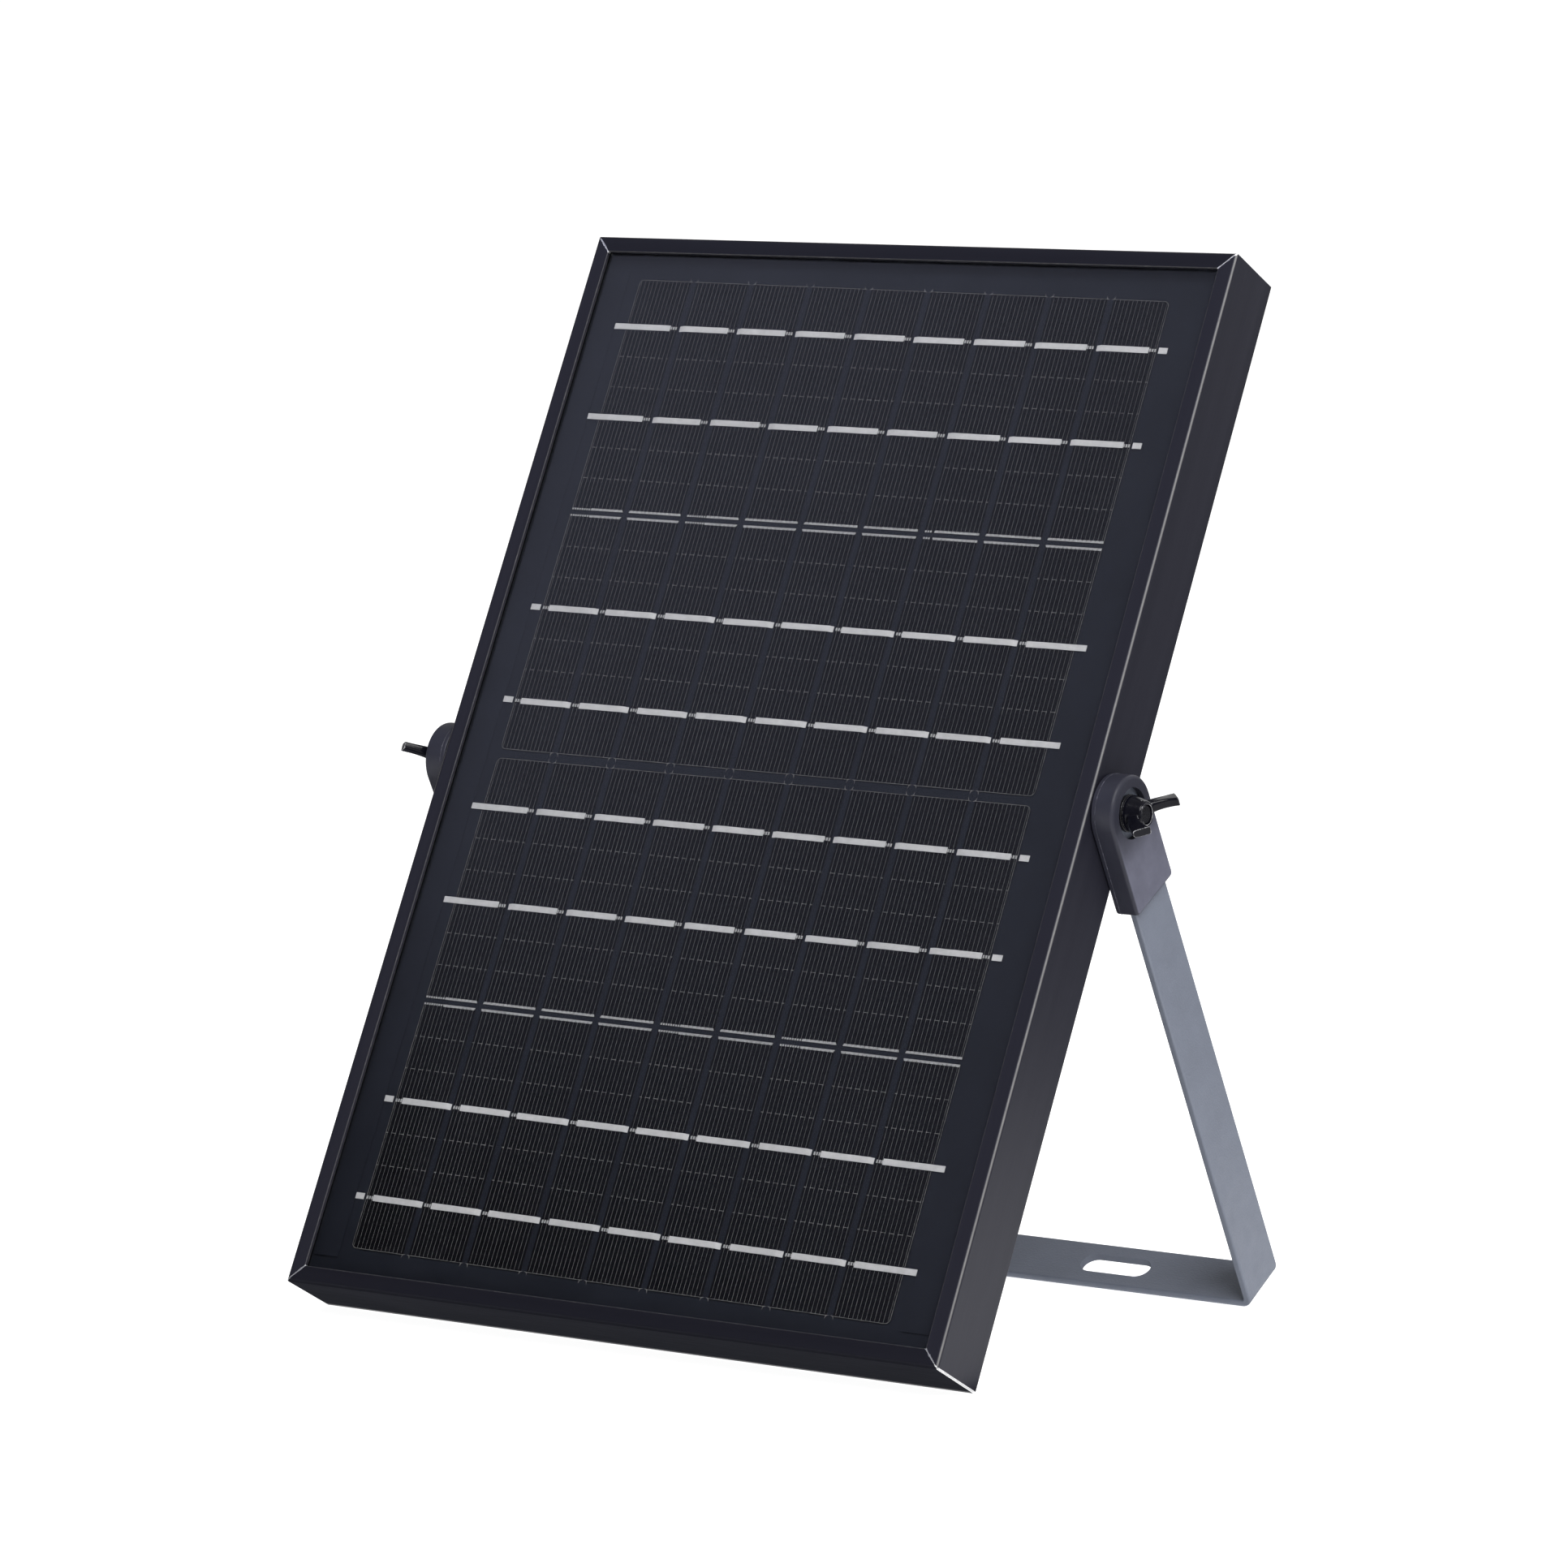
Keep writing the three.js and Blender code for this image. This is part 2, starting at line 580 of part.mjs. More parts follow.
function boxLid() {
  const outline = rectangle(BOX_WIDTH, BOX_HEIGHT, 0, BOX_CENTRE_UP);
  const plate = plateXZ(outline, depth(LID_FRONT), depth(LID_REAR));
  const holes = BOX_CORNERS.flatMap(([, x, z]) => [
    discY(LID_SCREW_RADIUS + GAP, LID_FRONT - OVERCUT, LID_REAR, x, z),
    discY(SCREW_HEAD_RADIUS + GAP, LID_REAR - SCREW_HEAD_HEIGHT, LID_REAR + OVERCUT, x, z),
  ]);
  return cut(plate, ...holes);
}

function lidScrew(x, z) {
  const headFront = LID_REAR - SCREW_HEAD_HEIGHT + GAP;
  const headRear = LID_REAR + GAP;
  const head = discY(SCREW_HEAD_RADIUS, headFront, headRear, x, z);
  const shank = discY(LID_SCREW_RADIUS, LID_FRONT - LID_SCREW_REACH, headFront + GAP / 2, x, z);
  const slots = [[DRIVER_SLOT_LENGTH, DRIVER_SLOT_WIDTH], [DRIVER_SLOT_WIDTH, DRIVER_SLOT_LENGTH]];
  const driverSlots = slots.map(([width, height]) => boxBetween(
    [x - width / 2, depth(headRear - DRIVER_SLOT_DEPTH), z - height / 2],
    [x + width / 2, depth(headRear + OVERCUT), z + height / 2],
  ));
  return cut(join(head, shank), ...driverSlots);
}

// A brass block beside the window, drilled from behind for its screw.
function terminal(x) {
  const height = BOX_CENTRE_UP - TERMINAL_DROP;
  const block = boxBetween(
    [x - TERMINAL_WIDTH / 2, depth(BOX_FRONT + BOX_WALL + GAP), height - TERMINAL_HEIGHT / 2],
    [x + TERMINAL_WIDTH / 2, depth(TERMINAL_REAR), height + TERMINAL_HEIGHT / 2],
  );
  const bore = discY(TERMINAL_BORE_RADIUS, TERMINAL_REAR - TERMINAL_BORE_DEPTH, BOX_REAR, x, height);
  return cut(block, bore);
}

function terminalScrew(x) {
  const height = BOX_CENTRE_UP - TERMINAL_DROP;
  const seat = TERMINAL_REAR + GAP;
  const shank = discY(TERMINAL_SCREW_RADIUS, TERMINAL_REAR - TERMINAL_SCREW_REACH, seat + GAP, x, height);
  const head = discY(TERMINAL_HEAD_RADIUS, seat, seat + TERMINAL_HEAD_HEIGHT, x, height);
  return join(shank, head);
}

// The diode's body lies across the box between the terminals, its legs as one bar through it.
function bypassDiode() {
  const height = BOX_CENTRE_UP + DIODE_UP;
  const centre = depth(BOX_FRONT + BOX_WALL + DIODE_LIFT);
  const body = discX(DIODE_RADIUS, -DIODE_LENGTH / 2, DIODE_LENGTH / 2, 16);
  const legs = discX(DIODE_LEG_RADIUS, -DIODE_LEG_SPAN / 2, DIODE_LEG_SPAN / 2, 8);
  return join(body, legs).translate(0, centre, height);
}

// A gland piece is round about a line down the panel, and its ends are distances below the box's wall.
function glandPlaced(geometry) {
  return geometry.rotateY(Math.PI / 2).translate(0, depth(GLAND_DEPTH), BOX_CENTRE_UP - BOX_HEIGHT / 2);
}

function glandTurned(radius, from, to) {
  return glandPlaced(discX(radius, from, to));
}

function glandBush() {
  const from = GLAND_STUB_LENGTH - GLAND_SEAT_LENGTH + GAP;
  return glandPlaced(ringX(GLAND_BORE_RADIUS, GLAND_SEAT_RADIUS - GAP, from, from + GLAND_BUSH_LENGTH));
}

function glandNut() {
  const skirt = glandPlaced(hexX(GLAND_NUT_FLATS, GLAND_NUT_START, GLAND_STUB_LENGTH + 1));
  const dome = glandPlaced(turnedX([
    [GLAND_DOME.start, 0],
    [GLAND_DOME.start, GLAND_DOME.startRadius],
    [GLAND_DOME.shoulder, GLAND_DOME.shoulderRadius],
    [GLAND_NUT_END, GLAND_DOME.endRadius],
    [GLAND_NUT_END, 0],
  ]));
  const bushEnd = GLAND_STUB_LENGTH - GLAND_SEAT_LENGTH + GLAND_BUSH_LENGTH + 2 * GAP;
  const threads = glandTurned(GLAND_STUB_RADIUS + GAP, GLAND_NUT_START - OVERCUT, bushEnd);
  const mouth = glandTurned(GLAND_BORE_RADIUS, GLAND_STUB_LENGTH, GLAND_NUT_END + OVERCUT);
  return cut(join(skirt, dome), threads, mouth);
}

function addJunctionBox() {
  const padWidth = BOX_WIDTH - 2 * BOX_PAD_INSET;
  const padHeight = BOX_HEIGHT - 2 * BOX_PAD_INSET;
  const pad = rectangularRing(padWidth, padHeight, BOX_PAD_WIDTH, 0, BOX_CENTRE_UP);
  const gasket = rectangularRing(BOX_WIDTH, BOX_HEIGHT, BOX_WALL, 0, BOX_CENTRE_UP);
  const padFront = LAYER.backsheet[1] + 0.1;
  add(panel, 'junction_box_pad', plateXZ(pad, depth(padFront), depth(BOX_FRONT - 0.1)), sealant);
  add(panel, 'junction_box_base', boxBase(), blackPlastic);
  add(panel, 'junction_box_gasket', plateXZ(gasket, depth(BOX_REAR + 0.1), depth(LID_FRONT - 0.1)), rubber);
  add(panel, 'junction_box_lid', boxLid(), blackPlastic);
  for (const [corner, x, z] of BOX_CORNERS) {
    add(panel, `lid_screw_${corner}`, lidScrew(x, z), zincSteel);
  }
  for (const [pole, x] of [['positive', -TERMINAL_X], ['negative', TERMINAL_X]]) {
    add(panel, `terminal_${pole}`, terminal(x), brass);
    add(panel, `terminal_screw_${pole}`, terminalScrew(x), zincSteel);
  }
  add(panel, 'bypass_diode', bypassDiode(), blackPlastic);
  add(panel, 'gland_bush', glandBush(), rubber);
  add(panel, 'gland_nut', glandNut(), blackPlastic);
}

// ---------------------------------------------------------------- stand

// The bar's outline seen from the front: down one leg, along the base and up the other.
function bracketOutline() {
  const outerX = LEG_OUTER_X;
  const innerX = LEG_OUTER_X - BAR_THICKNESS;
  const base = -LEG_LENGTH;
  const innerBase = base + BAR_THICKNESS;
  const innerRadius = BEND_RADIUS - BAR_THICKNESS;
  const outline = new THREE.Shape();
  outline.moveTo(-outerX, 0);
  outline.absarc(-outerX + BEND_RADIUS, base + BEND_RADIUS, BEND_RADIUS, Math.PI, 1.5 * Math.PI, false);
  outline.absarc(outerX - BEND_RADIUS, base + BEND_RADIUS, BEND_RADIUS, 1.5 * Math.PI, 2 * Math.PI, false);
  outline.lineTo(outerX, 0);
  outline.lineTo(innerX, 0);
  outline.absarc(innerX - innerRadius, innerBase + innerRadius, innerRadius, 0, -0.5 * Math.PI, true);
  outline.absarc(-innerX + innerRadius, innerBase + innerRadius, innerRadius, -0.5 * Math.PI, -Math.PI, true);
  outline.lineTo(-innerX, 0);
  outline.closePath();
  return outline;
}

// A straight-sided slot through the base bar, its ends round.
function slotTool(centreX) {
  const radius = SLOT_WIDTH / 2;
  const reach = SLOT_LENGTH / 2 - radius;
  const slot = new THREE.Shape();
  slot.absarc(centreX + reach, 0, radius, -Math.PI / 2, Math.PI / 2, false);
  slot.absarc(centreX - reach, 0, radius, Math.PI / 2, 1.5 * Math.PI, false);
  slot.closePath();
  const tool = new THREE.ExtrudeGeometry(slot, {
    depth: BAR_THICKNESS + 2 * OVERCUT, bevelEnabled: false, curveSegments: 8,
  });
  return tool.translate(0, 0, -LEG_LENGTH - OVERCUT);
}

function addBracket() {
  const bar = plateXZ(bracketOutline(), -BAR_WIDTH / 2, BAR_WIDTH / 2);
  const legTops = [-LEG_OUTER_X, LEG_OUTER_X - BAR_THICKNESS].map((x) => (
    discX(BAR_WIDTH / 2, x, x + BAR_THICKNESS, 32)));
  const pivotHole = discX(CLEARANCE_HOLE_RADIUS, -LEG_OUTER_X - OVERCUT, LEG_OUTER_X + OVERCUT);
  const bracket = cut(join(bar, ...legTops), pivotHole, slotTool(SLOT_CENTRE_X), slotTool(-SLOT_CENTRE_X));
  add(stand, 'stand_bracket', bracket, powderCoat);
}

// The outline of a leg's end: a half circle about the pivot, then straight down the leg.
// It is drawn with x towards the front (-Y) and y up the leg.
function legEndShape(radius, length, cornerRadius) {
  const shape = new THREE.Shape();
  shape.absarc(0, 0, radius, 0, Math.PI, false);
  shape.lineTo(-radius, -length + cornerRadius);
  shape.quadraticCurveTo(-radius, -length, -radius + cornerRadius, -length);
  shape.lineTo(radius - cornerRadius, -length);
  shape.quadraticCurveTo(radius, -length, radius, -length + cornerRadius);
  shape.closePath();
  return shape;
}

// Stands a shape drawn in leg space up in the YZ plane, from x0 to x1.
function legPlate(shape, x0, x1, rounding = 0) {
  const plate = new THREE.ExtrudeGeometry(shape, {
    depth: x1 - x0 - 2 * rounding,
    curveSegments: 10,
    bevelEnabled: rounding > 0,
    bevelThickness: rounding,
    bevelSize: rounding,
    bevelOffset: -rounding,
    bevelSegments: 2,
  });
  return plate.rotateX(Math.PI / 2).rotateZ(Math.PI / 2).translate(x0 + rounding, 0, 0);
}

function endCap() {
  const pocketClearance = GAP;
  const pocketInner = LEG_OUTER_X - BAR_THICKNESS - pocketClearance;
  const pocketOuter = LEG_OUTER_X + pocketClearance;
  const bodyShape = legEndShape(CAP_RADIUS, CAP_LENGTH, CAP_CORNER_RADIUS);
  const body = legPlate(bodyShape, CAP_INNER_X, CAP_OUTER_X, CAP_ROUNDING);
  const pocketHalf = BAR_WIDTH / 2 + pocketClearance;
  const pocketShape = legEndShape(pocketHalf, CAP_LENGTH + OVERCUT, POCKET_CORNER_RADIUS);
  const pocket = legPlate(pocketShape, pocketInner, pocketOuter);
  const recess = discX(CAP_RECESS_RADIUS, LEG_OUTER_X, CAP_OUTER_X + OVERCUT, 32);
  const boltHole = discX(CLEARANCE_HOLE_RADIUS + GAP, CAP_INNER_X - OVERCUT, pocketOuter);
  return cut(body, pocket, recess, boltHole);
}

// ---------------------------------------------------------------- pivot hardware

function pivotBolt() {
  const head = hexX(BOLT_HEAD_FLATS, BOLT_HEAD_X - BOLT_HEAD_HEIGHT, BOLT_HEAD_X);
  const shank = turnedX([
    [BOLT_HEAD_X - OVERCUT, 0],
    [BOLT_HEAD_X - OVERCUT, BOLT_RADIUS],
    [BOLT_END_X - BOLT_END_CHAMFER, BOLT_RADIUS],
    [BOLT_END_X, BOLT_RADIUS - BOLT_END_CHAMFER],
    [BOLT_END_X, 0],
  ]);
  return join(head, shank);
}

// One wing, drawn with x away from the bolt's axis and y outwards from the nut's base.
function wingShape() {
  const wing = new THREE.Shape();
  wing.moveTo(3.8, 1.4);
  wing.lineTo(5.4, 1.4);
  wing.quadraticCurveTo(9, 3.3, 13.3, 8.2);
  wing.lineTo(9.3, 12.4);
  wing.quadraticCurveTo(7.8, 7.6, 4.2, 5.2);
  wing.lineTo(3.8, 5.2);
  wing.closePath();
  return wing;
}

// The nut stands on the washer, its base at nutBase and its bore along X.
function wingNut(nutBase) {
  const hub = turnedX([
    [0, NUT_BORE_RADIUS],
    [0, NUT_BASE_RADIUS],
    [NUT_FOOT_HEIGHT, NUT_BASE_RADIUS],
    [NUT_HEIGHT - NUT_CHAMFER, NUT_TOP_RADIUS],
    [NUT_HEIGHT, NUT_TOP_RADIUS - NUT_CHAMFER],
    [NUT_HEIGHT, NUT_BORE_RADIUS],
  ]);
  // In wing space x is radial, y outwards along the bolt and z across the wing.
  const wing = new THREE.ExtrudeGeometry(wingShape(), {
    depth: WING_THICKNESS, bevelEnabled: false, curveSegments: 5,
  });
  wing.translate(0, 0, -WING_THICKNESS / 2);
  const outwardToX = new THREE.Matrix4().makeBasis(
    new THREE.Vector3(0, 1, 0),
    new THREE.Vector3(1, 0, 0),
    new THREE.Vector3(0, 0, -1),
  );
  wing.applyMatrix4(outwardToX);
  return join(hub, wing, wing.clone().rotateX(Math.PI)).translate(nutBase, 0, 0);
}

// Every pivot piece is made for the right side; the left side is the same piece turned half round Z.
function addPivotHardware() {
  const washerX = LEG_OUTER_X + GAP;
  const nutX = washerX + WASHER_THICKNESS + GAP;
  const lockX = BOLT_HEAD_X + GAP;
  const lockWasher = ringX(CLEARANCE_HOLE_RADIUS, LOCK_WASHER_RADIUS, lockX, lockX + LOCK_WASHER_THICKNESS);
  const washer = ringX(CLEARANCE_HOLE_RADIUS, WASHER_RADIUS, washerX, washerX + WASHER_THICKNESS);
  const nut = wingNut(nutX);
  for (const { side, turn, wingAngle } of SIDES) {
    add(stand, `end_cap_${side}`, endCap().rotateZ(turn), capPlastic);
    add(panel, `pivot_bolt_${side}`, pivotBolt().rotateZ(turn), blackSteel);
    add(panel, `lock_washer_${side}`, lockWasher.clone().rotateZ(turn), zincSteel);
    add(panel, `wing_washer_${side}`, washer.clone().rotateZ(turn), blackSteel);
    const turnedNut = nut.clone().rotateX(wingAngle).rotateZ(turn);
    const placed = add(solarPanel, `wing_nut_${side}`, turnedNut, blackNickel);
    placed.position.z = PIVOT_HEIGHT;
  }
}

addFrame();
addCornerKeys();
addLaminate();
addJunctionBox();
addBracket();
addPivotHardware();

export default solarPanel;
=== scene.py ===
# Looks for a small framed solar panel that leans on a folding U stand.
# Lengths are in millimetres, and mesh_object() turns them into Blender's metres.

import json
import math
import random

import bmesh
import bpy
from mathutils import Matrix, Vector
from mathutils.geometry import tessellate_polygon


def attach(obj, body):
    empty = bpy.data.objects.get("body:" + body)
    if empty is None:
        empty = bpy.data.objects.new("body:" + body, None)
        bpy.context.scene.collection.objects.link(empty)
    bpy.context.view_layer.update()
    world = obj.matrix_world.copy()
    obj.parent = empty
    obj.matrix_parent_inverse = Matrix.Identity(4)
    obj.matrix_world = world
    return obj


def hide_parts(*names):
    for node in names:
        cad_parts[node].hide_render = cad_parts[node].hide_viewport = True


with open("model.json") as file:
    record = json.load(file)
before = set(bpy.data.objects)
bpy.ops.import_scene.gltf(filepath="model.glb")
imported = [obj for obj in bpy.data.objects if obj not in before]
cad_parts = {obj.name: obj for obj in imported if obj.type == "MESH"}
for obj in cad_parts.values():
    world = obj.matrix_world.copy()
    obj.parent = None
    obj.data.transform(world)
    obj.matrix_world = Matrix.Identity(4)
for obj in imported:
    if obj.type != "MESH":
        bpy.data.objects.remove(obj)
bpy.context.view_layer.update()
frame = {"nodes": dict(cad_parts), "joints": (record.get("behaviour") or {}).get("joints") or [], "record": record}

dice = random.Random(7)

# ---------------------------------------------------------------- spaces and sizes, from the frame

MM = 0.001
PIVOT = Vector(frame["joints"][0]["pos_m"])
GLASS_NORMAL = max(frame["nodes"]["front_glass"].data.polygons, key=lambda face: face.area).normal
BASE_NORMAL = frame["record"]["mounts"][0]["axis"]
PANEL_LEAN = math.atan2(abs(GLASS_NORMAL.z), abs(GLASS_NORMAL.y))
STAND_LEAN = math.atan2(BASE_NORMAL[1], -BASE_NORMAL[2])

# Panel space: x to the right, y rearwards through the panel, z up its face, origin on the pivot line.
# Stand space: the legs hang down -z from the pivot line.
PANEL = Matrix.Translation(PIVOT) @ Matrix.Rotation(-PANEL_LEAN, 4, "X")
STAND = Matrix.Translation(PIVOT) @ Matrix.Rotation(STAND_LEAN, 4, "X")


def link_new(name, data):
    made = bpy.data.objects.new(name, data)
    bpy.context.scene.collection.objects.link(made)
    return made


def node_box(node_name, space):
    """Lowest and highest corner of a CAD node in a space, in millimetres."""
    to_space = space.inverted()
    points = [to_space @ vertex.co / MM for vertex in frame["nodes"][node_name].data.vertices]
    low = Vector([min(point[axis] for point in points) for axis in range(3)])
    high = Vector([max(point[axis] for point in points) for axis in range(3)])
    return low, high


FRAME_LOW, FRAME_HIGH = node_box("frame_right", PANEL)
HALF_WIDTH = FRAME_HIGH.x
HALF_HEIGHT = FRAME_HIGH.z
FRONT = FRAME_LOW.y
DEPTH = FRAME_HIGH.y - FRAME_LOW.y

# ---------------------------------------------------------------- camera

CAMERA_FROM_FACE = Vector((1.2053, -1.7778, 0.2684))
CAMERA_AZIMUTH = math.radians(33.917)
CAMERA_DOWN = math.radians(7.241)
CAMERA_ROLL = math.radians(-0.27)

camera_data = bpy.data.cameras.new("camera")
camera_data.sensor_width = 36
camera_data.lens = 154.7
camera_data.clip_end = 100
camera = link_new("camera", camera_data)
bpy.context.scene.camera = camera
face_centre = PANEL @ Vector((0, FRONT * MM, 0))
camera.matrix_world = (
    Matrix.Translation(face_centre + CAMERA_FROM_FACE)
    @ Matrix.Rotation(CAMERA_AZIMUTH, 4, "Z")
    @ Matrix.Rotation(math.pi / 2 - CAMERA_DOWN, 4, "X")
    @ Matrix.Rotation(CAMERA_ROLL, 4, "Z")
)

# ---------------------------------------------------------------- material nodes


def node(tree, kind, inputs=None, **settings):
    """A shader node; an input is given a number, a colour, or the socket that feeds it."""
    made = tree.nodes.new("ShaderNode" + kind)
    for name, value in settings.items():
        setattr(made, name, value)
    for name, value in (inputs or {}).items():
        if isinstance(value, bpy.types.NodeSocket):
            tree.links.new(value, made.inputs[name])
        else:
            made.inputs[name].default_value = value
    return made


def new_material(name):
    material = bpy.data.materials.new(name)
    material.use_nodes = True
    tree = material.node_tree
    return material, tree, tree.nodes["Principled BSDF"]


def object_place(tree, stretch=(1, 1, 1)):
    """Where a point is on its own piece, in metres, squeezed by stretch along each axis."""
    place = node(tree, "TexCoord").outputs["Object"]
    if stretch == (1, 1, 1):
        return place
    return node(tree, "Mapping", {"Vector": place, "Scale": stretch}).outputs[0]


def noise(tree, place, size, detail=3.0, roughness=0.5):
    """Noise whose features are about size millimetres across."""
    inputs = {"Vector": place, "Scale": 1 / (size * MM), "Detail": detail, "Roughness": roughness}
    return node(tree, "TexNoise", inputs).outputs[0]


def spread(tree, value, low, high, start=0.3, end=0.7):
    """Stretches a value from start..end to low..high."""
    inputs = {"Value": value, "From Min": start, "From Max": end, "To Min": low, "To Max": high}
    return node(tree, "MapRange", inputs).outputs[0]


def calculate(tree, operation, first, second=0.0):
    return node(tree, "Math", {0: first, 1: second}, operation=operation).outputs[0]


def times(tree, first, second):
    return calculate(tree, "MULTIPLY", first, second)


def parts_of(tree, vector):
    return node(tree, "SeparateXYZ", {"Vector": vector}).outputs


def mix_colours(tree, share, first, second):
    """first where share is 0, second where it is 1."""
    return node(tree, "Mix", {0: share, 6: first, 7: second}, data_type="RGBA").outputs[2]


def scaled(colour, factor):
    return tuple(channel * factor for channel in colour[:3]) + (1,)


def edge_mask(tree, width):
    """1 along edges that stick out, 0 on flat faces, for an edge about width millimetres wide."""
    rounded = node(tree, "Bevel", {"Radius": width * MM}, samples=4).outputs[0]
    true = node(tree, "NewGeometry").outputs["Normal"]
    likeness = node(tree, "VectorMath", {0: rounded, 1: true}, operation="DOT_PRODUCT").outputs["Value"]
    return spread(tree, likeness, 0, 1, 0.985, 0.86)


def add_relief(tree, shader, height, depth):
    """Fine relief, depth millimetres from low to high."""
    relief = node(tree, "Bump", {"Height": height, "Distance": depth * MM, "Strength": 1.0})
    tree.links.new(relief.outputs[0], shader.inputs["Normal"])


def surface(name, colour, roughness, metallic=0.0, specular=0.5, mottle=0.15, mottle_size=9,
            rough_spread=0.06, bump=0.0, bump_size=0.5, bump_detail=2.0, worn=None, worn_width=0.35,
            worn_share=0.5):
    """A Principled material with mottled colour, uneven gloss, fine relief and worn edges.
    Sizes and the relief's depth are in millimetres."""
    material, tree, shader = new_material(name)
    place = object_place(tree)
    cloud = spread(tree, noise(tree, place, mottle_size, 4, 0.6), 0, 1)
    base = mix_colours(tree, cloud, scaled(colour, 1 - mottle), scaled(colour, 1 + mottle))
    gloss = noise(tree, place, mottle_size / 3, 3)
    rough = spread(tree, gloss, max(roughness - rough_spread, 0.02), roughness + rough_spread)
    if worn is not None:
        patches = spread(tree, noise(tree, place, 1.6, 4, 0.65), 0, 1, 0.62 - 0.3 * worn_share, 0.7)
        mask = times(tree, edge_mask(tree, worn_width), patches)
        base = mix_colours(tree, mask, base, worn + (1,))
    tree.links.new(base, shader.inputs["Base Color"])
    tree.links.new(rough, shader.inputs["Roughness"])
    shader.inputs["Metallic"].default_value = metallic
    shader.inputs["Specular IOR Level"].default_value = specular
    if bump:
        add_relief(tree, shader, noise(tree, place, bump_size, bump_detail, 0.6), bump)
    return material


def cover(material, share, colour):
    """Lays a colour over a material's own; share is a socket, 1 where the colour covers."""
    tree = material.node_tree
    colour_input = tree.nodes["Principled BSDF"].inputs["Base Color"]
    base = colour_input.links[0].from_socket
    tree.links.new(mix_colours(tree, share, base, colour + (1,)), colour_input)


def painted_light_lower_down(material, colour, top, foot):
    """Painted light: a paler colour on faces turned along X, growing downwards from top to foot, heights in
    millimetres.
    """
    tree = material.node_tree
    across = parts_of(tree, node(tree, "NewGeometry").outputs["Normal"])["X"]
    sideways = spread(tree, calculate(tree, "ABSOLUTE", across), 0, 1, 0.8, 0.97)
    place = object_place(tree)
    low_down = spread(tree, parts_of(tree, place)["Z"], 1, 0, foot * MM, top * MM)
    clouds = spread(tree, noise(tree, place, 5, 3), 0.8, 1)
    cover(material, times(tree, times(tree, sideways, low_down), clouds), colour)


def painted_rim_highlights(material, colour):
    """Painted highlights: a bright colour in patches where the surface turns sharply outwards."""
    tree = material.node_tree
    turning = spread(tree, node(tree, "NewGeometry").outputs["Pointiness"], 0, 1, 0.515, 0.56)
    patches = spread(tree, noise(tree, object_place(tree), 1.4, 3, 0.6), 0.3, 1, 0.4, 0.6)
    cover(material, times(tree, turning, patches), colour)


# ---------------------------------------------------------------- materials

ANODISED_DARK = (0.0112, 0.0112, 0.0172)
ANODISED_LIGHT = (0.0157, 0.0156, 0.0228)
# Colour of worn edges, also used as a painted highlight along the frame's edges.
EDGE_WEAR_AND_HIGHLIGHT = (0.20, 0.195, 0.19, 1)
BARE_MITRE = (0.72, 0.72, 0.73, 1)
GLASS_IOR = 1.5
CELL_PITCH = 23.4
ROW_PITCH = 90


def anodised(name, stretch, shade=1.0):
    """Black anodised extrusion with die lines along the member, bare mitres, and patchy worn edges; a steady share
    along the edges and a band along the front outer edge are painted highlight.
    """
    material, tree, shader = new_material(name)
    along = object_place(tree, stretch)
    place = object_place(tree)
    lines = noise(tree, along, 0.35, 3, 0.7)
    cloud = spread(tree, noise(tree, along, 7, 3), 0, 1)
    # A shade below 1 darkens the whole colour: painted shade.
    black = mix_colours(tree, cloud, scaled(ANODISED_DARK, shade), scaled(ANODISED_LIGHT, shade))
    x, y, z = parts_of(tree, place)
    from_side = calculate(tree, "SUBTRACT", HALF_WIDTH * MM, calculate(tree, "ABSOLUTE", x))
    from_end = calculate(tree, "SUBTRACT", HALF_HEIGHT * MM, calculate(tree, "ABSOLUTE", z))
    from_mitre = calculate(tree, "ABSOLUTE", calculate(tree, "SUBTRACT", from_side, from_end))
    ragged = spread(tree, noise(tree, place, 1.3, 4, 0.7), 0.10 * MM, 0.55 * MM, 0.35, 0.65)
    bare = calculate(tree, "LESS_THAN", from_mitre, ragged)
    # Worn edges in patches, never below a steady share that is a painted highlight.
    patches = spread(tree, noise(tree, place, 2.2, 5, 0.7), 0.45, 1, 0.5, 0.72)
    scuffs_and_edge_highlight = times(tree, edge_mask(tree, 0.5), patches)
    # Painted highlight: a lighter band along the front outer edge of the lip.
    from_edge = calculate(tree, "MAXIMUM", calculate(tree, "SUBTRACT", y, FRONT * MM), from_side)
    painted_edge_highlight = times(tree, spread(tree, from_edge, 1, 0, 0.35 * MM, 0.75 * MM),
                   spread(tree, noise(tree, place, 2.2, 4, 0.65), 0.75, 1))
    scuffed_and_highlighted = mix_colours(tree, calculate(tree, "MAXIMUM", scuffs_and_edge_highlight, painted_edge_highlight), black, EDGE_WEAR_AND_HIGHLIGHT)
    tree.links.new(mix_colours(tree, bare, scuffed_and_highlighted, BARE_MITRE), shader.inputs["Base Color"])
    tree.links.new(bare, shader.inputs["Metallic"])
    tree.links.new(spread(tree, lines, 0.34, 0.44), shader.inputs["Roughness"])
    shader.inputs["Specular IOR Level"].default_value = 0.2
    shader.inputs["Specular Tint"].default_value = (0.84, 0.86, 1.0, 1)
    add_relief(tree, shader, lines, 0.004)
    return material


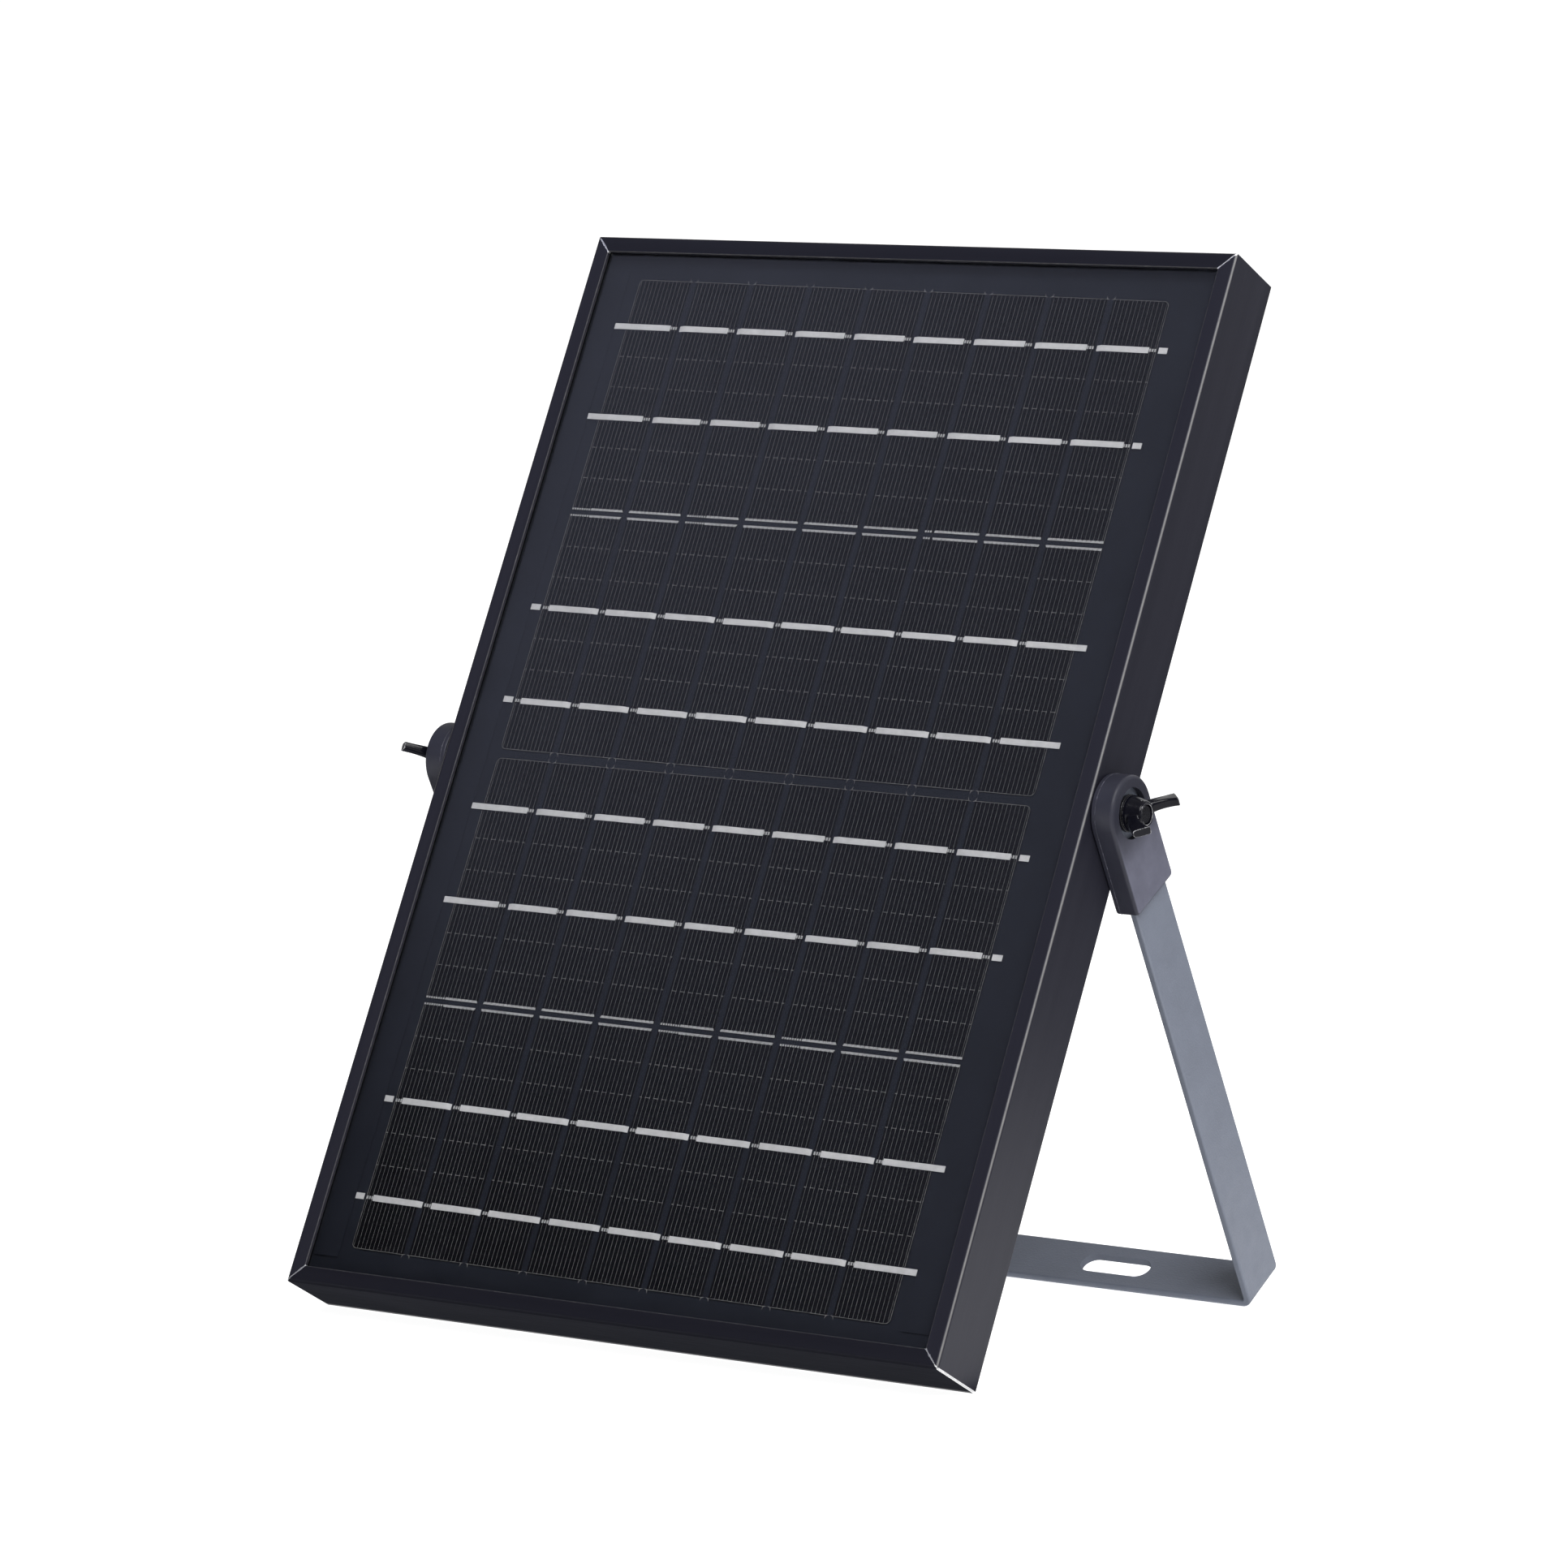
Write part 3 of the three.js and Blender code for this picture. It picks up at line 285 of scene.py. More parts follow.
def see_through(name, tint, gloss_roughness=None):
    """A clear layer: light passes straight through, and its front may mirror by Fresnel's law."""
    material, tree, shader = new_material(name)
    tree.nodes.remove(shader)
    place = object_place(tree)
    cloud = spread(tree, noise(tree, place, 40, 3), 0, 1)
    colour = mix_colours(tree, cloud, scaled(tint, 0.985), tint + (1,))
    result = node(tree, "BsdfTransparent", {"Color": colour}).outputs[0]
    if gloss_roughness is not None:
        waves = {"Height": noise(tree, place, 6, 2), "Distance": 0.001 * MM, "Strength": 1.0}
        relief = node(tree, "Bump", waves).outputs[0]
        rough = spread(tree, noise(tree, place, 14, 4), gloss_roughness - 0.03, gloss_roughness + 0.03)
        mirror = node(tree, "BsdfAnisotropic", {"Color": (1, 1, 1, 1), "Roughness": rough, "Normal": relief})
        outside = calculate(tree, "SUBTRACT", 1.0, node(tree, "NewGeometry").outputs["Backfacing"])
        fresnel = node(tree, "Fresnel", {"IOR": GLASS_IOR, "Normal": relief}).outputs[0]
        share = times(tree, fresnel, outside)
        result = node(tree, "MixShader", {0: share, 1: result, 2: mirror.outputs[0]}).outputs[0]
    tree.links.new(result, tree.nodes["Material Output"].inputs["Surface"])
    return material


def silicon():
    """Dark blue-black coated silicon, each cell a little different from the next."""
    material, tree, shader = new_material("coated_silicon")
    place = object_place(tree)
    grid = (CELL_PITCH * MM, 1.0, ROW_PITCH * MM)
    snapped = node(tree, "VectorMath", {0: place, 1: grid}, operation="SNAP").outputs[0]
    per_cell = node(tree, "TexWhiteNoise", {"Vector": snapped}).outputs["Value"]
    share = times(tree, per_cell, spread(tree, noise(tree, place, 18, 4), 0.5, 1))
    base = mix_colours(tree, share, (0.0014, 0.0014, 0.0020, 1), (0.0030, 0.0030, 0.0040, 1))
    tree.links.new(base, shader.inputs["Base Color"])
    tree.links.new(spread(tree, noise(tree, place, 3, 3), 0.40, 0.52), shader.inputs["Roughness"])
    shader.inputs["Specular IOR Level"].default_value = 0.04
    add_relief(tree, shader, noise(tree, place, 0.25, 2), 0.002)
    return material


def printed_silver():
    """Thin fired silver, patchy along each line, and brighter towards the panel's foot, which is painted light."""
    material, tree, shader = new_material("fired_silver_fingers")
    place = object_place(tree)
    # Painted light: paler silver lower down the panel.
    low_down = spread(tree, parts_of(tree, place)["Z"], 1, 0, -170 * MM, 170 * MM)
    level = mix_colours(tree, low_down, (0.165, 0.163, 0.168, 1), (0.23, 0.228, 0.225, 1))
    patchy = spread(tree, noise(tree, place, 1.0, 4, 0.7), 0.2, 1.0, 0.38, 0.62)
    tree.links.new(mix_colours(tree, patchy, (0.03, 0.03, 0.034, 1), level), shader.inputs["Base Color"])
    tree.links.new(spread(tree, noise(tree, place, 4, 2), 0.42, 0.6), shader.inputs["Roughness"])
    shader.inputs["Specular IOR Level"].default_value = 0.2
    return material


UPRIGHT = (1, 1, 0.02)
LEVEL = (0.02, 1, 1)

anodised_upright = anodised("black_anodised_upright", UPRIGHT)
# Painted shade: the top and bottom members use a copy of the finish darkened by the factor 0.65.
anodised_level = anodised("black_anodised_level", LEVEL, 0.65)
bare_aluminium = surface(
    "sawn_aluminium", (0.90, 0.90, 0.91), 0.42, metallic=0.25, mottle=0.06, mottle_size=1.5,
    rough_spread=0.1, bump=0.012, bump_size=0.3)
mill_aluminium = surface(
    "mill_aluminium", (0.62, 0.63, 0.65), 0.36, metallic=1.0, mottle_size=6, bump=0.01, bump_size=0.4)
glass = see_through("front_glass", (0.982, 0.984, 0.984), gloss_roughness=0.22)
encapsulant = see_through("clear_encapsulant", (0.99, 0.99, 0.99))
encapsulant_black = surface(
    "black_encapsulant", (0.0090, 0.0106, 0.0162), 0.6, specular=0.1, mottle=0.1, mottle_size=25, bump=0.003)
backsheet_black = surface(
    "black_backsheet", (0.0085, 0.0090, 0.0125), 0.55, specular=0.25, mottle=0.12, mottle_size=25,
    bump=0.012, bump_size=0.45)
film_black = surface(
    "black_film", (0.0088, 0.0103, 0.0158), 0.6, specular=0.1, mottle=0.1, mottle_size=15, bump=0.002,
    bump_size=0.6)
coated_silicon = silicon()
silver_print = printed_silver()
silver_pads = surface(
    "fired_silver_pads", (0.36, 0.36, 0.365), 0.5, metallic=0.1, mottle=0.3, mottle_size=1.0, bump=0.01,
    bump_size=0.3)
tinned_copper = surface(
    "tinned_copper", (0.58, 0.575, 0.585), 0.46, metallic=0.15, mottle=0.08, mottle_size=2.2,
    rough_spread=0.12, bump=0.03, bump_size=1.6)
sealant = surface(
    "black_silicone", (0.006, 0.006, 0.007), 0.75, specular=0.06, mottle=0.2, mottle_size=5, bump=0.02,
    bump_size=2.5)
powder_coat = surface(
    "grey_powder_coat", (0.130, 0.145, 0.184), 0.48, specular=0.4, mottle=0.05, mottle_size=14, bump=0.09,
    bump_size=0.75, bump_detail=1.0, worn=(0.22, 0.235, 0.28), worn_width=0.4, worn_share=0.3)
cap_plastic = surface(
    "grey_moulded_plastic", (0.021, 0.0215, 0.033), 0.5, specular=0.28, mottle=0.08, mottle_size=6,
    bump=0.012, bump_size=0.25, worn=(0.12, 0.12, 0.16))
# Painted light: the cap's flat faces turn paler towards the foot and stay darker at the top.
painted_light_lower_down(cap_plastic, (0.105, 0.107, 0.145), 0, -13)
gloss_black = surface(
    "gloss_black_plating", (0.004, 0.004, 0.007), 0.16, specular=0.16, mottle=0.2, mottle_size=4,
    rough_spread=0.05, bump=0.012, bump_size=1.2)
# Painted highlights along the wing nuts' rims.
painted_rim_highlights(gloss_black, (0.5, 0.5, 0.52))
black_zinc = surface(
    "black_zinc", (0.022, 0.022, 0.026), 0.26, metallic=0.6, mottle=0.25, mottle_size=3, rough_spread=0.08,
    bump=0.006, bump_size=0.4, worn=(0.25, 0.25, 0.27), worn_width=0.15)
bright_zinc = surface(
    "bright_zinc", (0.62, 0.63, 0.66), 0.30, metallic=1.0, mottle=0.12, mottle_size=2.5, rough_spread=0.1,
    bump=0.006, bump_size=0.35)
box_plastic = surface(
    "black_moulded_plastic", (0.018, 0.018, 0.020), 0.46, mottle=0.12, mottle_size=8, bump=0.014,
    bump_size=0.35, worn=(0.07, 0.07, 0.075), worn_width=0.4)
black_rubber = surface(
    "black_rubber", (0.014, 0.014, 0.014), 0.72, mottle=0.25, mottle_size=3, bump=0.015, bump_size=0.6)
brass = surface(
    "brass", (0.70, 0.53, 0.25), 0.33, metallic=1.0, mottle=0.12, mottle_size=3, bump=0.008, bump_size=0.4)
black_epoxy = surface(
    "black_epoxy", (0.016, 0.016, 0.017), 0.35, mottle=0.2, mottle_size=1.5, bump=0.01, bump_size=0.3)

# ---------------------------------------------------------------- mesh building


def mesh_object(name, vertices, faces):
    """A mesh at the origin, its faces turned outwards; vertices are in millimetres."""
    mesh = bpy.data.meshes.new(name)
    mesh.from_pydata([Vector(vertex) * MM for vertex in vertices], [], faces)
    shape = bmesh.new()
    shape.from_mesh(mesh)
    bmesh.ops.recalc_face_normals(shape, faces=shape.faces)
    shape.to_mesh(mesh)
    shape.free()
    return link_new(name, mesh)


def skin(count, rings, first=0, closed=False):
    """Quads between neighbouring rings of count points each; the first ring starts at index first."""
    faces = []
    for number in range(rings if closed else rings - 1):
        here = first + number * count
        there = first + (number + 1) % rings * count
        for index in range(count):
            following = (index + 1) % count
            faces.append((here + index, here + following, there + following, there + index))
    return faces


def end_faces(count, total, first=0):
    """The polygons that close the first and the last ring of a run of rings."""
    return [list(range(first, first + count)), list(range(first + total - count, first + total))]


def finish_piece(piece, space, body, slot, *materials, replaces=(), sharp=35, bevel=0.0, bevel_angle=40):
    """Puts a piece in its place with its finish; a bevel width rounds the edges that are left sharp."""
    slots = piece.data.materials
    for index, material in enumerate(materials):
        if index < len(slots):
            slots[index] = material
        else:
            slots.append(material)
    piece.data.shade_smooth()
    piece.data.set_sharp_from_angle(angle=math.radians(sharp))
    if bevel:
        add_bevel(piece, bevel, bevel_angle)
    piece.matrix_world = space
    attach(piece, body)
    if replaces:
        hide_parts(*replaces)


def add_bevel(piece, width, angle):
    modifier = piece.modifiers.new("rounded_edges", "BEVEL")
    modifier.width = width * MM
    modifier.segments = 2
    modifier.limit_method = "ANGLE"
    modifier.angle_limit = math.radians(angle)
    modifier.miter_outer = "MITER_ARC"
    modifier.use_clamp_overlap = True
    piece.modifiers.new("even_shading", "WEIGHTED_NORMAL").keep_sharp = True


def apply_modifiers(piece):
    depsgraph = bpy.context.evaluated_depsgraph_get()
    result = bpy.data.meshes.new_from_object(piece.evaluated_get(depsgraph))
    piece.modifiers.clear()
    piece.data = result


def combine(piece, tool, operation="DIFFERENCE"):
    """Cuts, joins or crosses piece with tool, which is used up."""
    modifier = piece.modifiers.new("combine", "BOOLEAN")
    modifier.operation = operation
    modifier.solver = "EXACT"
    modifier.object = tool
    apply_modifiers(piece)
    bpy.data.objects.remove(tool)
    return piece


def slice_off(piece, point, normal, material_index=0):
    """Cuts away what lies beyond a plane and closes the cut; the point is in millimetres."""
    shape = bmesh.new()
    shape.from_mesh(piece.data)
    cut = bmesh.ops.bisect_plane(
        shape, geom=shape.verts[:] + shape.edges[:] + shape.faces[:],
        plane_co=Vector(point) * MM, plane_no=Vector(normal), clear_outer=True,
    )
    edges = [part for part in cut["geom_cut"] if isinstance(part, bmesh.types.BMEdge)]
    closed = bmesh.ops.edgeloop_fill(shape, edges=[edge for edge in edges if edge.is_boundary])
    for face in closed["faces"]:
        face.material_index = material_index
    bmesh.ops.recalc_face_normals(shape, faces=shape.faces)
    shape.to_mesh(piece.data)
    shape.free()


def unit(vector):
    return vector / vector.length


def filleted(corners, steps=4):
    """A closed outline with rounded corners; each corner is (u, v, radius)."""
    outline = []
    for index, (u, v, radius) in enumerate(corners):
        corner = Vector((u, v))
        if radius == 0:
            outline.append(corner)
            continue
        before = unit(Vector(corners[index - 1][:2]) - corner)
        after = unit(Vector(corners[(index + 1) % len(corners)][:2]) - corner)
        half = before.angle(after) / 2
        centre = corner + unit(before + after) * (radius / math.sin(half))
        start = corner + before * (radius / math.tan(half)) - centre
        end = corner + after * (radius / math.tan(half)) - centre
        sweep = math.pi - 2 * half
        for step in range(steps + 1):
            share = step / steps
            spoke = start * math.sin((1 - share) * sweep) + end * math.sin(share * sweep)
            outline.append(centre + spoke / math.sin(sweep))
    return outline


def rounded_rectangle(width, height, radius, centre=(0, 0), steps=6):
    u, v = width / 2, height / 2
    corners = [(-u, -v), (u, -v), (u, v), (-u, v)]
    return filleted([(centre[0] + x, centre[1] + y, radius) for x, y in corners], steps)


def inset_loop(loop, inset):
    """The loop moved to its left, which is inwards for an anticlockwise outline."""
    result = []
    for index, point in enumerate(loop):
        before = unit(point - loop[index - 1])
        after = unit(loop[(index + 1) % len(loop)] - point)
        left_before = Vector((-before.y, before.x))
        left_after = Vector((-after.y, after.x))
        result.append(point + (left_before + left_after) * (inset / (1 + left_before.dot(left_after))))
    return result


def rounded_sides(low, high, radius, steps=4):
    """Stations (distance along, inset) of a plate whose two rims are rounded."""
    angles = [math.pi / 2 * step / steps for step in range(steps + 1)]
    rims = [(radius * (1 - math.sin(angle)), radius * (1 - math.cos(angle))) for angle in angles]
    rising = [(low + along, inset) for along, inset in reversed(rims)]
    falling = [(high - along, inset) for along, inset in rims]
    return rising + falling


def plate(name, loops, stations, place):
    """A closed solid through insets of loops[0]; further loops are holes, drawn clockwise.
    place(u, v, w) puts an outline's point at a station into space."""
    vertices = []
    faces = []
    ends = {0: ([], []), len(stations) - 1: ([], [])}
    for loop in loops:
        count = len(loop)
        faces += skin(count, len(stations), len(vertices))
        for number, (along, inset) in enumerate(stations):
            points = inset_loop(loop, inset)
            if number in ends:
                outlines, indices = ends[number]
                outlines.append([point.to_3d() for point in points])
                indices += range(len(vertices), len(vertices) + count)
            vertices += [place(point.x, point.y, along) for point in points]
    for outlines, indices in ends.values():
        for triangle in tessellate_polygon(outlines):
            faces.append([indices[corner] for corner in triangle])
    return mesh_object(name, vertices, faces)


def face_on(u, v, w):
    """An outline drawn on the panel's face, w rearwards from its front."""
    return (u, FRONT + w, v)


def side_on(u, v, w):
    """An outline drawn looking along X: u rearwards, v up, w to the right."""
    return (w, u, v)


def turned(name, stations, segments=64, closed=False):
    """A solid about X from (x, radius) stations, where a radius may be a function of the angle.
    A closed profile makes a ring; an open one is capped at both ends."""
    vertices = []
    for x, radius in stations:
        for step in range(segments):
            angle = 2 * math.pi * step / segments
            reach = radius(angle) if callable(radius) else radius
            vertices.append((x, reach * math.sin(angle), reach * math.cos(angle)))
    faces = skin(segments, len(stations), closed=closed)
    if not closed:
        faces += end_faces(segments, len(vertices))
    return mesh_object(name, vertices, faces)


def ring(name, inner, outer, low, high, rounding):
    """A washer about X with softened edges."""
    corners = [(low, inner), (low, outer), (high, outer), (high, inner)]
    return turned(name, filleted([(x, radius, rounding) for x, radius in corners], 3), closed=True)


def hexagon(flats, widest=math.inf):
    """Radius of a hexagon at an angle, cut off at a widest radius, two of its flats facing +-Y."""
    def radius(angle):
        from_flat = (angle - math.pi / 2) % (math.pi / 3)
        from_flat = min(from_flat, math.pi / 3 - from_flat)
        return min(flats / 2 / math.cos(from_flat), widest)
    return radius


def boxes(name, corners):
    """One mesh of separate boxes, each given by its lowest and highest corner."""
    vertices = []
    faces = []
    for (x0, y0, z0), (x1, y1, z1) in corners:
        first = len(vertices)
        vertices += [(x, y, z) for x in (x0, x1) for y in (y0, y1) for z in (z0, z1)]
        for face in ((0, 1, 3, 2), (4, 6, 7, 5), (0, 4, 5, 1), (2, 3, 7, 6), (0, 2, 6, 4), (1, 5, 7, 3)):
            faces.append([first + corner for corner in face])
    return mesh_object(name, vertices, faces)


def join_meshes(name, parts):
    """One object of several meshes' separate shells."""
    shape = bmesh.new()
    for part in parts:
        shape.from_mesh(part.data)
        bpy.data.objects.remove(part)
    mesh = bpy.data.meshes.new(name)
    shape.to_mesh(mesh)
    shape.free()
    return link_new(name, mesh)


def prisms(name, outlines, front, rear):
    """One mesh of separate flat prisms on the panel's face."""
    vertices = []
    faces = []
    for outline in outlines:
        first = len(vertices)
        count = len(outline)
        for depth in (front, rear):
            vertices += [face_on(point.x, point.y, depth) for point in outline]
        faces += end_faces(count, 2 * count, first) + skin(count, 2, first)
    return mesh_object(name, vertices, faces)


def flat_box(x_range, z_range, front, rear):
    """The corners of a box on the panel's face, front and rear measured from the frame's front."""
    return (
        (min(x_range), FRONT + front, min(z_range)),
        (max(x_range), FRONT + rear, max(z_range)),
    )


def around(middle, size):
    return middle - size / 2, middle + size / 2


def moved(piece, matrix):
    """Turns or shifts a mesh about the origin before it is placed; shifts are in millimetres."""
    matrix = matrix.copy()
    matrix.translation *= MM
    piece.data.transform(matrix)
    if matrix.determinant() < 0:
        piece.data.flip_normals()
    return piece


def cut_round(piece, radius, low, high, space=Matrix(), segments=64):
    """Bores a piece along the X axis of a space, from low to high."""
    combine(piece, moved(turned("bore", [(low, radius), (high, radius)], segments), space))


def keep(node_name, material, bevel=0.0):
    """A CAD node that stays, with its own finish; a bevel width softens its edges."""
    piece = frame["nodes"][node_name]
    piece.data.materials.clear()
    piece.data.materials.append(material)
    piece.modifiers.new("one_skin", "WELD").merge_threshold = 0.001 * MM
    flat = piece.modifiers.new("flat_faces", "DECIMATE")
    flat.decimate_type = "DISSOLVE"
    flat.angle_limit = math.radians(1)
    if bevel:
        add_bevel(piece, bevel, 35)


# ---------------------------------------------------------------- frame

WALL = 1.4
EDGE_RADIUS = 1.2
LIP_WIDTH = 5.8
LIP_THICKNESS = 1.3
SHELF_FRONT = 5.9
SHELF_REAR = 7.1
SHELF_WIDTH = 8
FLANGE_WIDTH = 14
FLANGE_FRONT = DEPTH - 1.3
RIB_THICKNESS = 1
RIB_HEIGHT = 3
MITRE_GAP = 0.06
CORNER_FLAT = 0.35
WIDE_FLAT = 0.6
MEMBER_OVERRUN = 5
PIVOT_HOLE_RADIUS = 3.3

FRAME_SECTION = filleted([
    (0, 0, EDGE_RADIUS),
    (LIP_WIDTH, 0, 0.22),
    (LIP_WIDTH, LIP_THICKNESS, 0.2),
    (WALL, LIP_THICKNESS, 0.2),
    (WALL, SHELF_FRONT, 0.2),
    (SHELF_WIDTH, SHELF_FRONT, 0.2),
    (SHELF_WIDTH, SHELF_REAR + RIB_HEIGHT, 0.25),
    (SHELF_WIDTH - RIB_THICKNESS, SHELF_REAR + RIB_HEIGHT, 0.25),
    (SHELF_WIDTH - RIB_THICKNESS, SHELF_REAR, 0.2),
    (WALL, SHELF_REAR, 0.2),
    (WALL, FLANGE_FRONT, 0.2),
    (SHELF_WIDTH - RIB_THICKNESS, FLANGE_FRONT, 0.2),
    (SHELF_WIDTH - RIB_THICKNESS, FLANGE_FRONT - RIB_HEIGHT, 0.25),
    (SHELF_WIDTH, FLANGE_FRONT - RIB_HEIGHT, 0.25),
    (SHELF_WIDTH, FLANGE_FRONT, 0.2),
    (FLANGE_WIDTH, FLANGE_FRONT, 0.25),
    (FLANGE_WIDTH, DEPTH, 0.35),
    (0, DEPTH, 0.45),
], 5)


def frame_member(name, length, from_centre, flats):
    """A member along X at the bottom of the frame, mitred, with a sawn flat of its own at each end."""
    reach = length / 2 + MEMBER_OVERRUN
    vertices = [
        (x, FRONT + rearwards, inwards - from_centre)
        for x in (-reach, reach)
        for inwards, rearwards in FRAME_SECTION
    ]
    count = len(FRAME_SECTION)
    member = mesh_object(name, vertices, skin(count, 2) + end_faces(count, 2 * count))
    for side, flat in zip((-1, 1), flats):
        slice_off(member, (side * (length / 2 - MITRE_GAP), 0, -from_centre), (side, 0, 1), 1)
        slice_off(member, (side * (length / 2 - flat), 0, -from_centre), (side, 0, -1), 1)
    return member


def build_frame():
    members = [
        ("bottom", HALF_WIDTH, HALF_HEIGHT, 0, anodised_level, (CORNER_FLAT, WIDE_FLAT)),
        ("top", HALF_WIDTH, HALF_HEIGHT, math.pi, anodised_level, (CORNER_FLAT, CORNER_FLAT)),
        ("right", HALF_HEIGHT, HALF_WIDTH, -math.pi / 2, anodised_upright, (WIDE_FLAT, CORNER_FLAT)),
        ("left", HALF_HEIGHT, HALF_WIDTH, math.pi / 2, anodised_upright, (CORNER_FLAT, CORNER_FLAT)),
    ]
    for side, half_length, from_centre, turn, finish, flats in members:
        member = frame_member(f"{side}_extrusion", 2 * half_length, from_centre, flats)
        member.data.materials.append(finish)
        member.data.materials.append(bare_aluminium)
        moved(member, Matrix.Rotation(turn, 4, "Y"))
        if side in ("left", "right"):
            cut_round(member, PIVOT_HOLE_RADIUS, -HALF_WIDTH - 3, HALF_WIDTH + 3)
        finish_piece(member, PANEL, "panel", "frame", finish, bare_aluminium,
                     replaces=[f"frame_{side}"], bevel=0.1)
    for corner in ("top_right", "top_left", "bottom_left", "bottom_right"):
        keep(f"corner_key_{corner}", mill_aluminium, 0.4)


# ---------------------------------------------------------------- laminate

CELL_COLUMNS = 9
CELL_WIDTH = 21.1
CELL_BLOCK_X = -2.4
ROW_SLOPE = -0.0096
COLUMN_SLOPE = 0.0021
HALF_BUSBAR_INSET = 0.55
WAFER_FRONT = 4.6
WAFER_REAR = 4.8
WAFER_CORNER = 2.0
SPLIT_CORNER = 0.15
PRINT_FRONT = 4.57
DASH_FRONT = PRINT_FRONT - 0.005
PAD_FRONT = PRINT_FRONT - 0.01
NOTCHED_FRONT = PRINT_FRONT - 0.012
PRINT_REAR = WAFER_FRONT + 0.02
BUSBAR_PITCH = 11.2
RIBBON_BUSBARS = (3, 6)
DASH_BUSBARS = (1, 2, 4, 5)
FINGERS = 13
FINGER_PITCH = 1.6
FINGER_WIDTH = 0.085
FINGER_START = 0.4
OUTER_FINGER_CUT = 0.6
EDGE_LINE_WIDTH = 0.15
EDGE_LINE_INSET = 0.18
SIDE_LINE_MIDDLE = 42
SIDE_LINE_HALF = 39
DASH_HEIGHT = 0.16
DASH_END = 0.3
LAST_DASH = 0.5
HALF_BUSBAR_START = 0.05
HALF_BUSBAR_HEIGHT = 0.85
NOTCH_WIDTH = 0.18
PAD_HEIGHT = 1.05
PAD_WIDTH = 0.62
PAD_PITCH = 0.95
PAD_MARGIN = 0.2
LADDER_MARGIN = 0.25
LADDER_HEIGHT = 0.7
LADDER_SHARES = (0.0, 0.0, 0.18, 0.37)
RIBBON_WIDTH = 2.05
RIBBON_THICKNESS = 0.16
RIBBON_EDGE = 0.07
RIBBON_SHARE = 0.86
RIBBON_LEAD = 2.3
RIBBON_END = 4.6
STUB_START = 0.7
STUB_END = 5
RIBBON_WAVE = 0.02
RIBBON_SWAY = 0.03
RIBBON_UNEVEN_END = 0.3
RIBBON_OFF_LINE = 0.16
RIBBON_FRONT = 4.44
RIBBON_BEHIND = 4.95
ROWS_SPLIT_AT_BOTTOM = (True, False, True, False)


class Row:
    """One row of cells, measured from the edge it was split at and from the end its ribbons start."""

    def __init__(self, number, split_at_bottom):
        low, high = node_box(f"cell_string_{number}", PANEL)
        self.number = number
        self.low = low.z
        self.high = high.z
        self.split_at_bottom = split_at_bottom
        self.direction = 1 if split_at_bottom else -1

    def height(self, from_split):
        return self.low + from_split if self.split_at_bottom else self.high - from_split

    def heights(self, start, end):
        return self.height(start), self.height(end)

    def busbar(self, number):
        """Height of a busbar; number 0 is the half one along the split edge."""
        return self.height(HALF_BUSBAR_INSET + number * BUSBAR_PITCH)

    def span(self, column, start, end):
        """x from start to end, both measured from the side of the column's cell where ribbons begin."""
        centre = CELL_BLOCK_X + (column - (CELL_COLUMNS - 1) / 2) * CELL_PITCH
        ends = [centre - self.direction * (CELL_WIDTH / 2 - distance) for distance in (start, end)]
        return min(ends), max(ends)


ROWS = [Row(number, split) for number, split in enumerate(ROWS_SPLIT_AT_BOTTOM, 1)]


def wafer(row, column):
    """A cell's outline; the first and last in a row keep the wafer's rounded outer corners."""
    x0, x1 = row.span(column, 0, CELL_WIDTH)
    outer = [WAFER_CORNER if column == last else SPLIT_CORNER for last in (0, CELL_COLUMNS - 1)]
    split = [SPLIT_CORNER, SPLIT_CORNER]
    at_low, at_high = (split, outer) if row.split_at_bottom else (outer, split)
    return filleted([
        (x0, row.low, at_low[0]), (x1, row.low, at_low[1]),
        (x1, row.high, at_high[1]), (x0, row.high, at_high[0]),
    ], 6)


def build_wafers(row):
    stations = rounded_sides(WAFER_FRONT, WAFER_REAR, 0.03, 2)
    cells = [plate("cell", [wafer(row, column)], stations, face_on) for column in range(CELL_COLUMNS)]
    wafers = join_meshes(f"wafers_{row.number}", cells)
    finish_piece(lay_askew(wafers), PANEL, "panel", "cells", coated_silicon,
                 replaces=[f"cell_string_{row.number}"])


def edge_line(row, column):
    """The printed line round a cell's outer end, and down the outer side of the end cells."""
    outline = inset_loop(wafer(row, column), EDGE_LINE_INSET)
    inner = inset_loop(outline, EDGE_LINE_WIDTH)
    left, right = row.span(column, 0, CELL_WIDTH)
    centre = (left + right) / 2
    lines = []
    for index in range(len(outline)):
        following = (index + 1) % len(outline)
        corners = [outline[index], outline[following], inner[following], inner[index]]
        middle = sum(corners, Vector((0, 0))) / 4
        at_split = abs(middle.y - row.height(0)) < 1
        near_side = abs(abs(middle.x - centre) - CELL_WIDTH / 2) < 0.6
        at_side = near_side and abs(middle.y - row.height(SIDE_LINE_MIDDLE)) < SIDE_LINE_HALF
        outer_left = column == 0 and middle.x < centre
        outer_right = column == CELL_COLUMNS - 1 and middle.x > centre
        if at_split or (at_side and not outer_left and not outer_right):
            continue
        lines.append(corners)
    return lines


